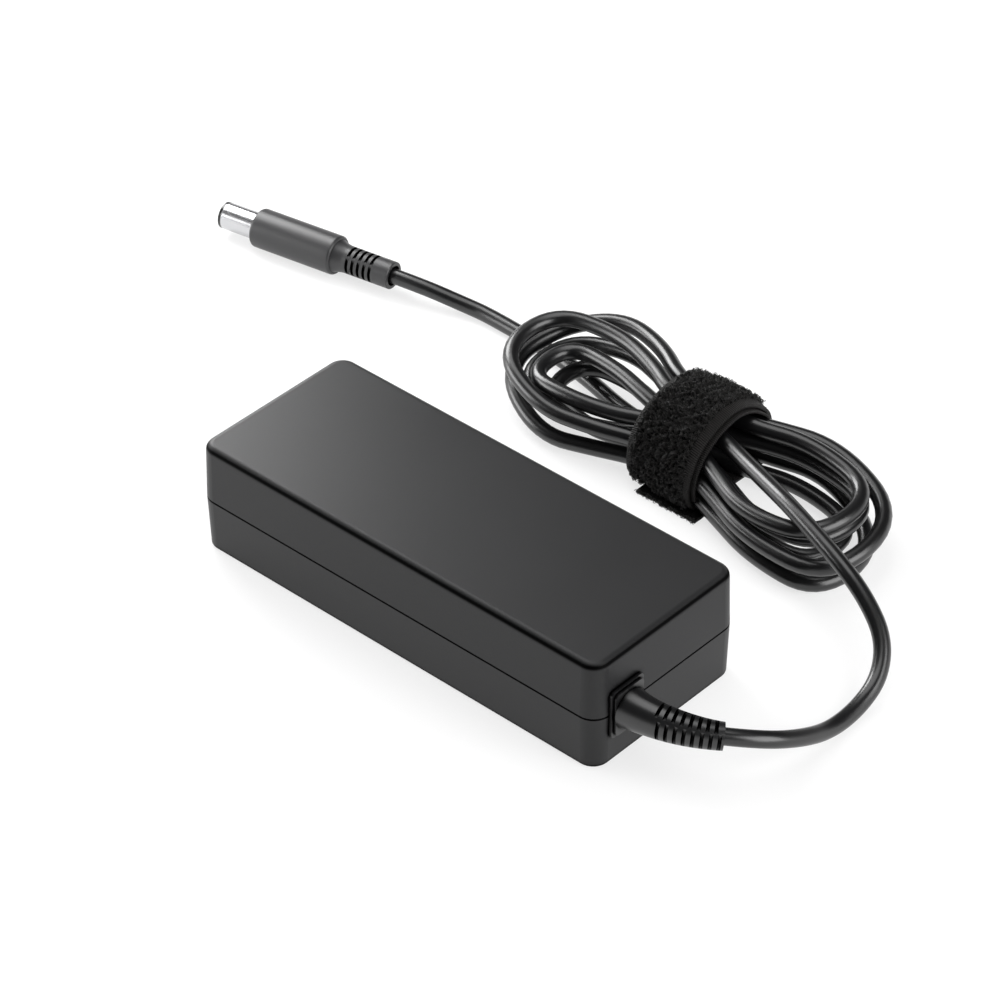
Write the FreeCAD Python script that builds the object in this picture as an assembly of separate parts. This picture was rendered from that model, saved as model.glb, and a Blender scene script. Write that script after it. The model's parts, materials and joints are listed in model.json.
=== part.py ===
import FreeCAD, Part
import math
import os

# Laptop power adapter of about 90 W: a two-shell moulded housing with a three-pin mains inlet at one end
# and a captive low-voltage cord at the other. The cord's middle is folded into a hank that a hook-and-loop
# strap holds, and it ends in a 7.4 mm barrel plug. Millimetres. The origin is the centre of the housing's
# underside, +X points to the end that the cord leaves, +Z is up, and everything lies on the plane z = 0.

Vector = FreeCAD.Vector
X_AXIS = Vector(1, 0, 0)
Y_AXIS = Vector(0, 1, 0)
Z_AXIS = Vector(0, 0, 1)

# Housing: two drafted shells that meet at the seam, where they are widest
housing_length = 127.0
housing_width = 50.2
lower_height = 14.7
upper_height = 15.5
draft_inset = 0.46
corner_radius = 4.8
wall = 2.2
top_fillet = 1.9
base_fillet = 0.8
seam_bevel = 0.28
lip_height = 1.6
lip_thickness = 1.0
fit_gap = 0.12

# Circuit board and the posts that hold it
board_stand = 2.8
board_thickness = 1.6
board_margin = 1.2
board_end_inset = 2.9
board_cord_inset = 6.5
board_corner = 3.0
post_radius = 2.4
post_end_inset = 9.4
post_side_inset = 3.1
peg_radius = 1.0
rib_thickness = 1.2
rib_count = 5
insulation_thickness = 0.3
shield_thickness = 0.5
shield_skirt = 6.0

# Mains inlet: a block with a cloverleaf socket round three pins
inlet_width = 21.0
inlet_height = 16.2
inlet_depth = 17.0
inlet_recess = 0.5
socket_lobe = 3.7
socket_depth = 12.5
pin_spread = 7.8
pin_rise = 4.8
pin_radius = 1.2
pin_length = 10.5
pin_tail = 2.9

# Strain relief of the cord: a flange in the end wall and a bent, slotted boot
relief_from_side = 10.1
flange_width = 11.0
flange_height = 13.3
flange_thickness = 1.5
flange_step = 0.7
flange_corner = 1.2
neck_width = 8.6
neck_height = 10.6
collar_thickness = 2.5
boot_bend_radius = 33.0
boot_bend = 40.0
boot_droop = 9.6
boot_radii = (5.1, 4.5, 4.15, 3.85, 3.55, 3.3)
boot_slots = 8
boot_slot_pitch = 1.85
boot_slot_start = 8.2

# Slots of the boot and of the plug's relief
slot_width = 0.9
slot_depth = 0.95

# Cord
cord_diameter = 4.2
turn_gap = 0.5
lead_radius = 0.8
lead_bend = 4.0
lead_reach = 5.6
lead_spread = 1.3

# Hank: where the strap ties it, and the places that its five turns pass. Each place gives x and y from the
# hank's centre and how high it is above the lowest strand, in millimetres as drawn for the pitch below, then
# the slant of the cord's heading in degrees and its rise. A loop's places are its two sides and its end, in
# the order in which the cord passes them.
hank_x = 3.0
hank_y = 77.0
hank_pitch = 4.7
back_runs = (
    (0, 2.7, 1.9, 6, 0),
    (0, 8.2, 3.5, 8, 0),
    (0, 7.5, 14.8, -6, -0.03),
    (0, -0.3, 10.7, 20, -0.25),
    (0, 8.9, 10.1, 8, 0),
)
front_runs = (
    (0, -2.9, 2.1, 0, 0),
    (0, -9.5, 1.9, 0, 0),
    (0, -6.5, 12.5, 0, 0),
    (0, -3.6, 7.1, 0, 0),
    (0, -10, 8.1, 0, 0),
)
right_loops = (
    ((21, 6, 1.7, 16, 0), (50.6, -4.1, 0, 0, 0), (25.2, -10.2, 1.3, -24, 0)),
    ((21, 13, 2.1, 18, 0), (59.5, -10, 0, 0, 0), (28.8, -16.7, 1.3, -20, 0.03)),
    ((21, 7.6, 14.5, 17, 0), (56, -6.7, 13.8, 0, 0), (25, -13.8, 10.9, -26, 0)),
    ((21, 7, 6.8, 14, 0), (53.5, -5, 6.8, 0, 0), (25.1, -10.1, 6.3, -24, 0)),
    ((21, 14.4, 10.5, 17, 0), (63, -9, 8.4, 0, -0.08), (26, -15.7, 6.2, -24, 0)),
)
left_loops = (
    ((-16.8, -6.4, 1.5, 14, 0), (-39.4, 0.7, 5.3, 0, 0), (-17, 7, 5.7, -16, 0)),
    ((-21.3, -14.6, 1.3, 18, -0.03), (-52.3, 2.8, 7.4, 0, 0.08), (-29, 18.4, 12.3, -13, 0.06)),
    ((-19, -11.1, 11.9, 10, 0), (-42, -2.4, 10.9, 0, 0.03), (-17, 1.5, 12.7, -16, 0)),
    ((-20, -11.6, 5.9, 16, 0), (-45.2, 0.9, 5.2, 0, 0.03), (-19.2, 12, 8.5, -16, 0)),
    ((-21.9, -15.8, 9, 10, 0), (-51.5, -0.6, 14.1, 0, 0.06), (-21, 8.6, 16.2, -17, 0)),
)

# The hank's own ends: the run from the plug goes in under the left lobe, and the last run crosses over
# the right lobe. Each is a place and a heading.
plug_run = (((-64, 89.1, 2.1), (1, -0.06, 0)),)
crossing_run = (
    ((2, 77.8, 17.6), (1, -0.2, -0.08)),
    ((32, 68.6, 17.6), (1, -0.42, 0.12)),
    ((58, 57.8, 19.8), (1, -0.36, -0.06)),
)

# Free stretches of the cord, from the hank outwards: the points between the first and last runs, and how
# long those two runs are, which lie in line with what they meet
adapter_route = (
    (80.6, 51.0, 14.7),
    (88.8, 47.6, 9.4),
    (93.4, 40.8, 4.6),
    (94.8, 31.5, 2.1),
    (95.2, 20.5, 2.4),
    (95.4, 9.4, 7.2),
)
adapter_end_runs = (9.5, 8.6)
plug_route = ((-82, 88.2, 2.7),)
plug_end_runs = (9.0, 11.0)

# Strap round the hank's waist
strap_thickness = 1.2
strap_clearance = 0.4
strap_ease = 0.8
strap_crown_shift = -0.8
# Sections across X: the place, how far the top stands off the highest run, and how far it falls to the back
strap_rims = ((-4.5, 0.0, 1.0), (3.0, 1.4, 1.6), (10.5, 2.2, 3.0), (18.0, 2.8, 4.4))
# Rounding of a section's front foot, front shoulder, crown, back shoulder and back foot
strap_radii = (3.6, 4.6, 6.0, 4.0, 2.6)
strap_tab_x = (1.0, 21.0)
strap_tab_y = (60.3, 67.5)
strap_tab_corner = 1.5

# Barrel plug
plug_x = -154.7
plug_y = 73.5
plug_turn = 9.8
barrel_radius = 3.7
barrel_wall = 0.45
barrel_length = 11.2
barrel_seat = 6.0
barrel_seat_radius = 3.5
contact_bore = 2.5
contact_wall = 0.2
insulator_recess = 0.4
insulator_floor = 10.4
centre_pin_radius = 0.45
centre_pin_tip = 2.5
grip_radius = 5.375
grip_length = 25.6
grip_round = 0.8
shoulder_length = 3.2
plug_relief_radius = 3.75
plug_relief_length = 14.2
plug_slots = 5
plug_slot_pitch = 1.8
plug_slot_start = 1.5
cord_hole_radius = 2.75
cord_hole_depth = 1.2

# Parts on the board: a single value is a distance from the housing's mains end or cord end. A pair adds a
# place across the board, which for the mains choke and the output choke is how far in they stand from the
# devices' side.
fuse_from_mains = 19.0
varistor_from_mains = 25.0
varistor_spacing = 1.5
x_capacitor_from_mains = 33.0
choke_place = (29.9, 13.56)
pfc_place = (49.5, 2.5)
bulk_from_mains = 62.0
primary_sink_from_mains = 34.0
package_spacing = 1.0
transformer_place_from_mains = (75.0, 6.7)
y_capacitor_from_cord = 37.5
optocoupler_from_cord = 30.0
output_choke_place = (24.0, 11.96)
output_capacitor_places = ((12.5, -1.5), (12.5, 9.2), (24.2, -4.6))
secondary_sink_from_cord = 32.0
controller_place = (71.5, -2.0)
fuse_size = (8.5, 4.0, 8.0)
varistor_radius = 5.0
varistor_thickness = 4.0
x_capacitor_size = (17.0, 8.5, 14.5)
choke_radius = 8.0
choke_bore = 4.2
choke_height = 8.0
choke_winding = 1.1
choke_wound = 130.0
pfc_radius = 9.0
pfc_bore = 4.5
pfc_height = 10.0
pfc_winding = 1.3
pfc_wound = 150.0
bulk_radius = 8.0
bulk_end_clearance = 5.0
sink_thickness = 1.5
sink_headroom = 1.28
sink_shelf = 8.0
primary_sink_length = 28.0
secondary_sink_length = 18.0
bridge_size = (15.0, 3.5, 12.0)
package_width = 10.0
package_thickness = 4.5
package_height = 9.2
tab_headroom = 0.6
tab_thickness = 1.3
package_lift = 1.8
core_length = 26.0
core_depth = 12.0
core_height = 18.0
core_plate = 3.4
core_leg_radius = 4.4
bobbin_wall = 0.9
winding_inset = 0.4
bobbin_lift = 1.4
disc_radius = 4.0
disc_thickness = 3.0
opto_size = (6.5, 4.6, 3.5)
controller_size = (5.0, 4.0, 1.5)
output_radius = 5.0
output_height = 18.0
output_choke_radius = 5.2
output_choke_bore = 2.4
output_choke_height = 6.0
output_choke_winding = 0.8
output_choke_wound = 150.0
screw_radius = 1.5
screw_head_radius = 2.8
screw_head_height = 2.0

# Worked out from the sizes above
housing_height = lower_height + upper_height
mains_end = -housing_length / 2
cord_end = housing_length / 2
ceiling = housing_height - wall
board_bottom = wall + board_stand
board_top = board_bottom + board_thickness
board_half_width = housing_width / 2 - wall - board_margin
relief_y = relief_from_side - housing_width / 2
sink_height = ceiling - fit_gap - shield_thickness - sink_headroom - board_top
tab_height = sink_height - sink_thickness - package_lift - package_height - tab_headroom
winding_radius = core_length / 2 - core_plate - winding_inset
bulk_length = housing_length - bulk_from_mains - secondary_sink_from_cord - bulk_end_clearance
relief_z = lower_height
flange_face = cord_end + flange_thickness
plug_axis_height = grip_radius
plug_length = barrel_length + grip_length + shoulder_length + plug_relief_length


def box(x0, x1, y0, y1, z0, z1):
    return Part.makeBox(x1 - x0, y1 - y0, z1 - z0, Vector(x0, y0, z0))


def cylinder(radius, length, base, direction=Z_AXIS):
    return Part.makeCylinder(radius, length, base, direction)


def ring(outer, inner, length, base, direction=Z_AXIS):
    return cylinder(outer, length, base, direction).cut(cylinder(inner, length, base, direction))


def fuse(first, others):
    return first.multiFuse(others).removeSplitter()


def half_turn_at(before, corner, after):
    return (math.pi - (before - corner).getAngle(after - corner)) / 2


def corner_arc(before, corner, after, radius):
    """Start, middle and end of the arc that rounds a corner of a path."""
    half_turn = half_turn_at(before, corner, after)
    back = (before - corner).normalize()
    ahead = (after - corner).normalize()
    inward = (back + ahead).normalize()
    setback = radius * math.tan(half_turn)
    middle = corner + inward * (radius / math.cos(half_turn) - radius)
    return corner + back * setback, middle, corner + ahead * setback


def rounded_outline(corners, radii):
    """Closed outline of straight sides with a tangent arc at each corner."""
    before = corners[-1:] + corners[:-1]
    after = corners[1:] + corners[:1]
    arcs = [corner_arc(*places) for places in zip(before, corners, after, radii)]
    edges = []
    for here, after in zip(arcs, arcs[1:] + arcs[:1]):
        edges.append(Part.Arc(*here).toShape())
        edges.append(Part.LineSegment(here[2], after[0]).toShape())
    return Part.Wire(edges)


def rounded_wire(length, width, radius, z):
    """Outline of a rectangle with round corners, centred on the Z axis."""
    x = length / 2
    y = width / 2
    corners = [Vector(x, y, z), Vector(-x, y, z), Vector(-x, -y, z), Vector(x, -y, z)]
    return rounded_outline(corners, [radius] * 4)


def drafted_block(inset_low, z_low, inset_high, z_high):
    """Solid between two rounded rectangles that lie inside the housing's seam outline by the insets."""
    wires = []
    for inset, z in ((inset_low, z_low), (inset_high, z_high)):
        length = housing_length - 2 * inset
        width = housing_width - 2 * inset
        wires.append(rounded_wire(length, width, corner_radius - inset, z))
    return Part.makeLoft(wires, True, True)


def rounded_bar(x0, x1, width, height, radius, y, z):
    """Bar along X with a rounded rectangular section."""
    wire = rounded_wire(height, width, radius, 0)
    wire.rotate(Vector(), Y_AXIS, 90)
    wire.translate(Vector(x0, y, z))
    return Part.Face(wire).extrude(Vector(x1 - x0, 0, 0))


def edges_at(shape, z):
    return [edge for edge in shape.Edges
            if abs(edge.BoundBox.ZMin - z) < 1e-4 and abs(edge.BoundBox.ZMax - z) < 1e-4]


def post_places():
    side = board_half_width - post_side_inset + board_margin
    xs = (mains_end + post_end_inset, cord_end - post_end_inset)
    return [Vector(x, y, 0) for x in xs for y in (-side, side)]


def wall_openings():
    """Room in the end walls for the inlet block and for the neck of the strain relief."""
    inlet_room = box(mains_end - 1, mains_end + wall + lip_thickness + 2,
                     -inlet_width / 2 - fit_gap, inlet_width / 2 + fit_gap,
                     board_top - fit_gap, board_top + inlet_height + fit_gap)
    neck_room = rounded_bar(cord_end - wall - lip_thickness - 2, cord_end + 1,
                            neck_width + 2 * fit_gap, neck_height + 2 * fit_gap,
                            flange_corner + fit_gap, relief_y, relief_z)
    return [inlet_room, neck_room]


def side_ribs(z0, z1):
    """Short ribs that stiffen both long walls from inside."""
    ribs = []
    spacing = (housing_length - 2 * post_end_inset) / (rib_count + 1)
    reach = housing_width / 2 - wall / 2
    for index in range(rib_count):
        x = mains_end + post_end_inset + spacing * (index + 1)
        for side in (-1, 1):
            y0, y1 = sorted((side * reach, side * (board_half_width + fit_gap)))
            ribs.append(box(x - rib_thickness / 2, x + rib_thickness / 2, y0, y1, z0, z1))
    return ribs


def bottom_case():
    shell = drafted_block(draft_inset, 0, 0, lower_height)
    shell = shell.makeFillet(base_fillet, edges_at(shell, 0))
    shell = shell.makeChamfer(seam_bevel, edges_at(shell, lower_height))
    shell = shell.cut(drafted_block(draft_inset + wall, wall, wall, lower_height))
    lip = drafted_block(wall - lip_thickness, lower_height, wall - lip_thickness, lower_height + lip_height)
    lip = lip.cut(drafted_block(wall, lower_height, wall, lower_height + lip_height))
    inside = []
    for place in post_places():
        inside.append(cylinder(post_radius, board_bottom - wall / 2, place + Z_AXIS * (wall / 2)))
        inside.append(cylinder(peg_radius, board_thickness, place + Z_AXIS * board_bottom))
    case = fuse(shell, [lip] + inside + side_ribs(wall / 2, board_bottom - fit_gap))
    return case.cut(wall_openings())


def top_cover():
    shell = drafted_block(0, lower_height, draft_inset, housing_height)
    shell = shell.makeFillet(top_fillet, edges_at(shell, housing_height))
    shell = shell.makeChamfer(seam_bevel, edges_at(shell, lower_height))
    shell = shell.cut(drafted_block(wall, lower_height, draft_inset + wall, ceiling))
    rebate = wall - lip_thickness - fit_gap
    shell = shell.cut(drafted_block(rebate, lower_height, rebate, lower_height + lip_height + fit_gap))
    foot = board_top + fit_gap
    posts = [cylinder(post_radius, housing_height - wall / 2 - foot, place + Z_AXIS * foot)
             for place in post_places()]
    return fuse(shell, posts).cut(wall_openings())


def board_blank(x0, x1, z0, thickness):
    outline = rounded_wire(x1 - x0, 2 * board_half_width, board_corner, z0)
    outline.translate(Vector((x0 + x1) / 2, 0, 0))
    return Part.Face(outline).extrude(Vector(0, 0, thickness))


def circuit_board():
    x0 = mains_end + board_end_inset
    x1 = cord_end - board_cord_inset
    board = board_blank(x0, x1, board_bottom, board_thickness)
    holes = [cylinder(peg_radius + fit_gap, board_thickness, place + Z_AXIS * board_bottom)
             for place in post_places()]
    return board.cut(holes)


def insulation_sheet():
    z0 = wall + fit_gap
    sheet = board_blank(mains_end + board_end_inset + draft_inset, cord_end - board_cord_inset,
                        z0, insulation_thickness)
    holes = [cylinder(post_radius + fit_gap, insulation_thickness, place + Z_AXIS * z0)
             for place in post_places()]
    return sheet.cut(holes)


def heat_shield():
    """Bent aluminium sheet under the cover's ceiling, notched round the cover's posts."""
    top = ceiling - fit_gap
    x0 = mains_end + inlet_recess + inlet_depth + 1
    x1 = cord_end - board_cord_inset
    outer = box(x0, x1, -board_half_width, board_half_width, top - shield_skirt, top)
    inner = box(x0, x1, -board_half_width + shield_thickness, board_half_width - shield_thickness,
                top - shield_skirt, top - shield_thickness)
    notches = [cylinder(post_radius + 3 * fit_gap, shield_skirt, place + Z_AXIS * (top - shield_skirt))
               for place in post_places()]
    return outer.cut([inner] + notches)


def inlet_pin_places():
    """Centres of the live, neutral and earth pins in the plane of the inlet's mouth."""
    middle = board_top + inlet_height / 2
    low = middle - pin_rise / 2
    return (Vector(0, -pin_spread / 2, low), Vector(0, pin_spread / 2, low), Vector(0, 0, low + pin_rise))


def ac_inlet():
    x0 = mains_end + inlet_recess
    middle = board_top + inlet_height / 2
    block = rounded_bar(x0, x0 + inlet_depth, inlet_width, inlet_height, 1.0, 0, middle)
    live, neutral, earth = inlet_pin_places()
    lobes = [cylinder(socket_lobe, socket_depth, place + X_AXIS * x0, X_AXIS)
             for place in (live, neutral, earth)]
    heart = box(x0, x0 + socket_depth, live.y, neutral.y, live.z - socket_lobe * 0.8, earth.z)
    socket = fuse(lobes[0], lobes[1:] + [heart])
    holes = [cylinder(pin_radius + fit_gap / 3, inlet_depth, place + X_AXIS * x0, X_AXIS)
             for place in (live, neutral, earth)]
    return block.cut([socket] + holes)


def inlet_pin(place):
    x0 = mains_end + inlet_recess + socket_depth - pin_length
    length = mains_end + inlet_recess + inlet_depth + pin_tail - x0
    pin = cylinder(pin_radius, length, place + X_AXIS * x0, X_AXIS)
    tip = [edge for edge in pin.Edges if edge.BoundBox.XMax < x0 + 1e-4]
    return pin.makeChamfer(pin_radius / 3, tip)


def boot_frame(arc_share):
    """Centre and heading of the boot's centreline, which bends to the back and droops a little."""
    turn = math.radians(boot_bend * arc_share)
    droop = math.radians(boot_droop)
    side = Vector(0, math.cos(droop), -math.sin(droop))
    start = Vector(flange_face, relief_y, relief_z)
    centre = start + X_AXIS * (boot_bend_radius * math.sin(turn)) \
        + side * (boot_bend_radius * (1 - math.cos(turn)))
    heading = X_AXIS * math.cos(turn) + side * math.sin(turn)
    return centre, heading


def boot_length():
    return boot_bend_radius * math.radians(boot_bend)


def boot_radius(share):
    place = share * (len(boot_radii) - 1)
    low = min(int(place), len(boot_radii) - 2)
    return boot_radii[low] + (boot_radii[low + 1] - boot_radii[low]) * (place - low)


def slot_pair(centre, heading, radius, across):
    """Two slots on opposite sides of a round piece: above and below it or, across, to its left and right."""
    level = Z_AXIS.cross(heading).normalize()
    outward = level if across else heading.cross(level)
    cutters = []
    for side in (-1, 1):
        turn = FreeCAD.Rotation(heading.cross(outward * side), heading, outward * side, "ZYX")
        cutter = box(-2 * radius, 2 * radius, -slot_width / 2, slot_width / 2,
                     radius - slot_depth, 2 * radius)
        cutter.Placement = FreeCAD.Placement(centre, turn)
        cutters.append(cutter)
    return cutters


def strain_relief():
    x0 = cord_end - wall - draft_inset - fit_gap - collar_thickness
    collar = rounded_bar(x0, x0 + collar_thickness, flange_width, flange_height,
                         flange_corner, relief_y, relief_z)
    neck = rounded_bar(x0, cord_end + fit_gap, neck_width, neck_height, flange_corner, relief_y, relief_z)
    lower = rounded_bar(cord_end + fit_gap, flange_face - flange_step, flange_width, flange_height,
                        flange_corner, relief_y, relief_z)
    upper = rounded_bar(cord_end + fit_gap, flange_face, flange_width - 2 * flange_step,
                        flange_height - 2 * flange_step, flange_corner, relief_y, relief_z)
    sections = []
    for index in range(len(boot_radii)):
        centre, heading = boot_frame(index / (len(boot_radii) - 1))
        sections.append(Part.Wire(Part.Circle(centre, heading, boot_radii[index]).toShape()))
    boot = Part.makeLoft(sections, True, False)
    cutters = []
    for index in range(boot_slots):
        for across in (False, True):
            along = boot_slot_start + boot_slot_pitch * (index + (0.5 if across else 0))
            share = along / boot_length()
            centre, heading = boot_frame(share)
            cutters += slot_pair(centre, heading, boot_radius(share), across)
    boot = boot.cut(cutters)
    return fuse(collar, [neck, lower, upper, boot])


def bent_wire(points, bend_radius=None):
    """Straight runs joined by tangent arcs, each as large as its runs allow unless a radius is given."""
    points = [Vector(*point) for point in points]
    edges = []
    radii = []
    last = points[0]
    for before, corner, after in zip(points, points[1:], points[2:]):
        shorter = min((corner - before).Length, (after - corner).Length)
        radius = bend_radius or 0.45 * shorter / math.tan(half_turn_at(before, corner, after))
        first, middle, second = corner_arc(before, corner, after, radius)
        edges.append(Part.LineSegment(last, first).toShape())
        edges.append(Part.Arc(first, middle, second).toShape())
        radii.append(radius)
        last = second
    edges.append(Part.LineSegment(last, points[-1]).toShape())
    return Part.Wire(edges), radii


def sweep(wire, radius):
    start = wire.Edges[0]
    heading = start.tangentAt(start.FirstParameter)
    point = start.valueAt(start.FirstParameter)
    profile = Part.Wire(Part.Circle(point, heading, radius).toShape())
    return wire.makePipeShell([profile], True, False)


def free_cord(name, start, route, end, end_runs):
    """Cord from one place and heading to another, whose heading points back out of what it meets."""
    first = start[0] + start[1] * end_runs[0]
    last = end[0] + end[1] * end_runs[1]
    wire, radii = bent_wire([start[0], first] + list(route) + [last, end[0]])
    tube = sweep(wire, cord_diameter / 2)
    expected = math.pi * cord_diameter ** 2 / 4 * wire.Length
    print(name, "radii", [round(radius, 1) for radius in radii], "length", round(wire.Length, 1),
          "volume share", round(tube.Volume / expected, 4))
    return tube


def strand_key(place, ahead):
    """Place and heading of the hank's cord from a row of the tables; ahead is the heading without slant."""
    x, y, lift, slant, rise = place
    scale = (cord_diameter + turn_gap) / hank_pitch
    position = Vector(hank_x + x * scale, hank_y + y * scale, cord_diameter / 2 + lift * scale)
    heading = ahead + Z_AXIS.cross(ahead) * math.tan(math.radians(slant)) + Z_AXIS * rise
    return position, heading.normalize()


def run_keys(run):
    return [(Vector(*place), Vector(*heading).normalize()) for place, heading in run]


def straight_end(key, step):
    place, heading = key
    return place + heading * step, heading


def hank_keys():
    """Places and headings along the hank, from the plug's side to the adapter's side."""
    keys = run_keys(plug_run)
    keys.append(straight_end(keys[0], cord_diameter))
    for back, right, front, left in zip(back_runs, right_loops, front_runs, left_loops):
        keys.append(strand_key(back, X_AXIS))
        keys += [strand_key(place, ahead) for place, ahead in zip(right, (X_AXIS, -Y_AXIS, -X_AXIS))]
        keys.append(strand_key(front, -X_AXIS))
        keys += [strand_key(place, ahead) for place, ahead in zip(left, (-X_AXIS, Y_AXIS, X_AXIS))]
    keys += run_keys(crossing_run)
    return keys + [straight_end(keys[-1], cord_diameter)]


def half_biarc(start, heading, joint):
    """Arc that leaves start along heading and ends at joint, or a line where they are in line."""
    chord = joint - start
    offset = chord - heading * chord.dot(heading)
    if offset.Length < 1e-6:
        return Part.LineSegment(start, joint).toShape()
    offset.normalize()
    radius = chord.dot(chord) / (2 * offset.dot(chord))
    centre = start + offset * radius
    middle = centre + ((start - centre) + (joint - centre)).normalize() * radius
    return Part.Arc(start, middle, joint).toShape()


def biarc(first, second):
    """Two tangent arcs from one place and heading to the next."""
    start, out = first
    end, into = second
    chord = end - start
    both = out + into
    spread = 2 * (1 - out.dot(into))
    if spread < 1e-9:
        reach = chord.dot(chord) / (4 * chord.dot(into))
    else:
        reach = (math.sqrt(chord.dot(both) ** 2 + spread * chord.dot(chord)) - chord.dot(both)) / spread
    joint = (start + out * reach + end - into * reach) * 0.5
    backward = half_biarc(end, -into, joint)
    backward.reverse()
    return [half_biarc(start, out, joint), backward]


def least_gap(wire):
    """Smallest clear distance of the tube to itself, away from its own neighbourhood along the wire."""
    step = cord_diameter / 4
    points = wire.discretize(Distance=step)
    skip = int(math.pi * cord_diameter / step) + 1
    least = min(point.distanceToPoint(other)
                for index, point in enumerate(points) for other in points[index + skip:])
    return least - cord_diameter


def hank_wire():
    keys = hank_keys()
    edges = []
    for first, second in zip(keys, keys[1:]):
        edges += biarc(first, second)
    return Part.Wire(edges)


def cord_hank(wire):
    tube = sweep(wire, cord_diameter / 2)
    tightest = min(edge.Curve.Radius for edge in wire.Edges if hasattr(edge.Curve, "Radius"))
    expected = math.pi * cord_diameter ** 2 / 4 * wire.Length
    print("hank length", round(wire.Length, 1), "tightest bend", round(tightest, 2),
          "least gap", round(least_gap(wire), 3), "volume share", round(tube.Volume / expected, 4))
    return tube


def runs_at(wire, x):
    """Where the hank's runs pass the plane at x, and how far the strap stays off the middle of each."""
    points = wire.discretize(Distance=cord_diameter / 4)
    runs = []
    for here, after in zip(points, points[1:]):
        if (here.x - x) * (after.x - x) < 0:
            step = after - here
            place = here + step * ((x - here.x) / step.x)
            slant = abs(step.x) / step.Length
            runs.append((place, cord_diameter / 2 / slant + strap_clearance))
    return runs


def shoulder_height(runs, front, crown):
    """Height at the front where a line down from the crown just clears every run."""
    heights = []
    for run, reach in runs:
        if run.y < crown.y:
            away = Vector(0, crown.y - run.y, crown.z - run.z)
            slope = math.atan2(away.z, away.y) - math.asin(min(1, reach / away.Length))
            heights.append(crown.z - math.tan(slope) * (crown.y - front))
    return max(heights)


def strap_outline(wire, rim, thickness):
    """Outline across X of the strap's inside, or of its outside where a thickness is given."""
    x, rise, fall = rim
    runs = runs_at(wire, x)
    top_run, top_reach = runs[-1]
    front = min(run.y - reach for run, reach in runs)
    back = max(run.y + reach for run, reach in runs)
    crown = Vector(x, top_run.y + strap_crown_shift, top_run.z + top_reach + rise)
    shoulder = shoulder_height(runs, front, crown) + strap_ease
    slope = math.atan2(crown.z - shoulder, crown.y - front)
    drop = math.atan2(fall, back - crown.y)
    front_lift = thickness * math.tan((math.pi / 2 - slope) / 2)
    back_lift = thickness * math.tan((math.pi / 2 - drop) / 2)
    crown_turn = thickness * math.tan((slope + drop) / 2)
    corners = [
        Vector(x, front - thickness, strap_thickness - thickness),
        Vector(x, front - thickness, shoulder + front_lift),
        Vector(x, crown.y + crown_turn * math.cos(slope) - thickness * math.sin(slope),
               crown.z + crown_turn * math.sin(slope) + thickness * math.cos(slope)),
        Vector(x, back + thickness, crown.z - fall + back_lift),
        Vector(x, back + thickness, strap_thickness - thickness),
    ]
    return rounded_outline(corners, [radius + thickness for radius in strap_radii])


def cable_strap(wire):
    """Band that hugs the runs at the waist and flares to the right, with its end tab flat on the floor."""
    inner = [strap_outline(wire, rim, 0) for rim in strap_rims]
    outer = [strap_outline(wire, rim, strap_thickness) for rim in strap_rims]
    band = Part.makeLoft(outer, True, False).cut(Part.makeLoft(inner, True, False))
    tab = box(strap_tab_x[0], strap_tab_x[1], strap_tab_y[0], strap_tab_y[1], 0, strap_thickness)
    corners = [edge for edge in tab.Edges
               if edge.BoundBox.YMax < strap_tab_y[0] + 1e-4 and edge.BoundBox.ZLength > strap_thickness / 2]
    tab = tab.makeFillet(strap_tab_corner, corners)
    return band.fuse(tab).removeSplitter()


def plug_placed(shape):
    """Moves a piece of the plug from its own axis, with the tip at the origin, to where the plug lies."""
    turn = FreeCAD.Rotation(Z_AXIS, plug_turn)
    shape.Placement = FreeCAD.Placement(Vector(plug_x, plug_y, plug_axis_height), turn)
    return shape


def turned(profile):
    """Solid of revolution about X from a closed list of (x, radius) points and arcs."""
    edges = []
    for here, after in zip(profile, profile[1:] + profile[:1]):
        start = Vector(here[0], 0, here[1])
        end = Vector(after[0], 0, after[1])
        if len(here) == 4:
            edges.append(Part.Arc(start, Vector(here[2], 0, here[3]), end).toShape())
        else:
            edges.append(Part.LineSegment(start, end).toShape())
    return Part.Face(Part.Wire(edges)).revolve(Vector(), X_AXIS, 360)


def tube_piece(outer, inner, x0, x1):
    return turned([(x0, inner), (x0, outer), (x1, outer), (x1, inner)])


def plug_barrel():
    """Outer contact: a sleeve with a bevelled mouth, stepped down where it is seated in the grip."""
    end = barrel_length + barrel_seat
    inner = barrel_radius - barrel_wall
    bevel = barrel_wall / 3
    profile = [
        (0, inner + bevel),
        (0, barrel_radius - bevel),
        (bevel, barrel_radius),
        (barrel_length, barrel_radius),
        (barrel_length, barrel_seat_radius),
        (end, barrel_seat_radius),
        (end, inner),
        (bevel, inner),
    ]
    return plug_placed(turned(profile))


def plug_insulator():
    end = barrel_length + barrel_seat
    outer = barrel_radius - barrel_wall - fit_gap / 3
    inner = contact_bore + contact_wall + fit_gap / 3
    sleeve = tube_piece(outer, inner, insulator_recess, end)
    floor = tube_piece(outer, centre_pin_radius + fit_gap / 3, insulator_floor, end)
    return plug_placed(sleeve.fuse(floor).removeSplitter())


def plug_inner_contact():
    return plug_placed(tube_piece(contact_bore + contact_wall, contact_bore, insulator_recess,
                                  insulator_floor - fit_gap / 3))


def plug_centre_pin():
    end = barrel_length + barrel_seat
    rounding = centre_pin_radius / 2
    profile = [
        (centre_pin_tip, 0),
        (centre_pin_tip, rounding),
        (centre_pin_tip + rounding, centre_pin_radius),
        (end, centre_pin_radius),
        (end, 0),
    ]
    return plug_placed(turned(profile))


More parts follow.
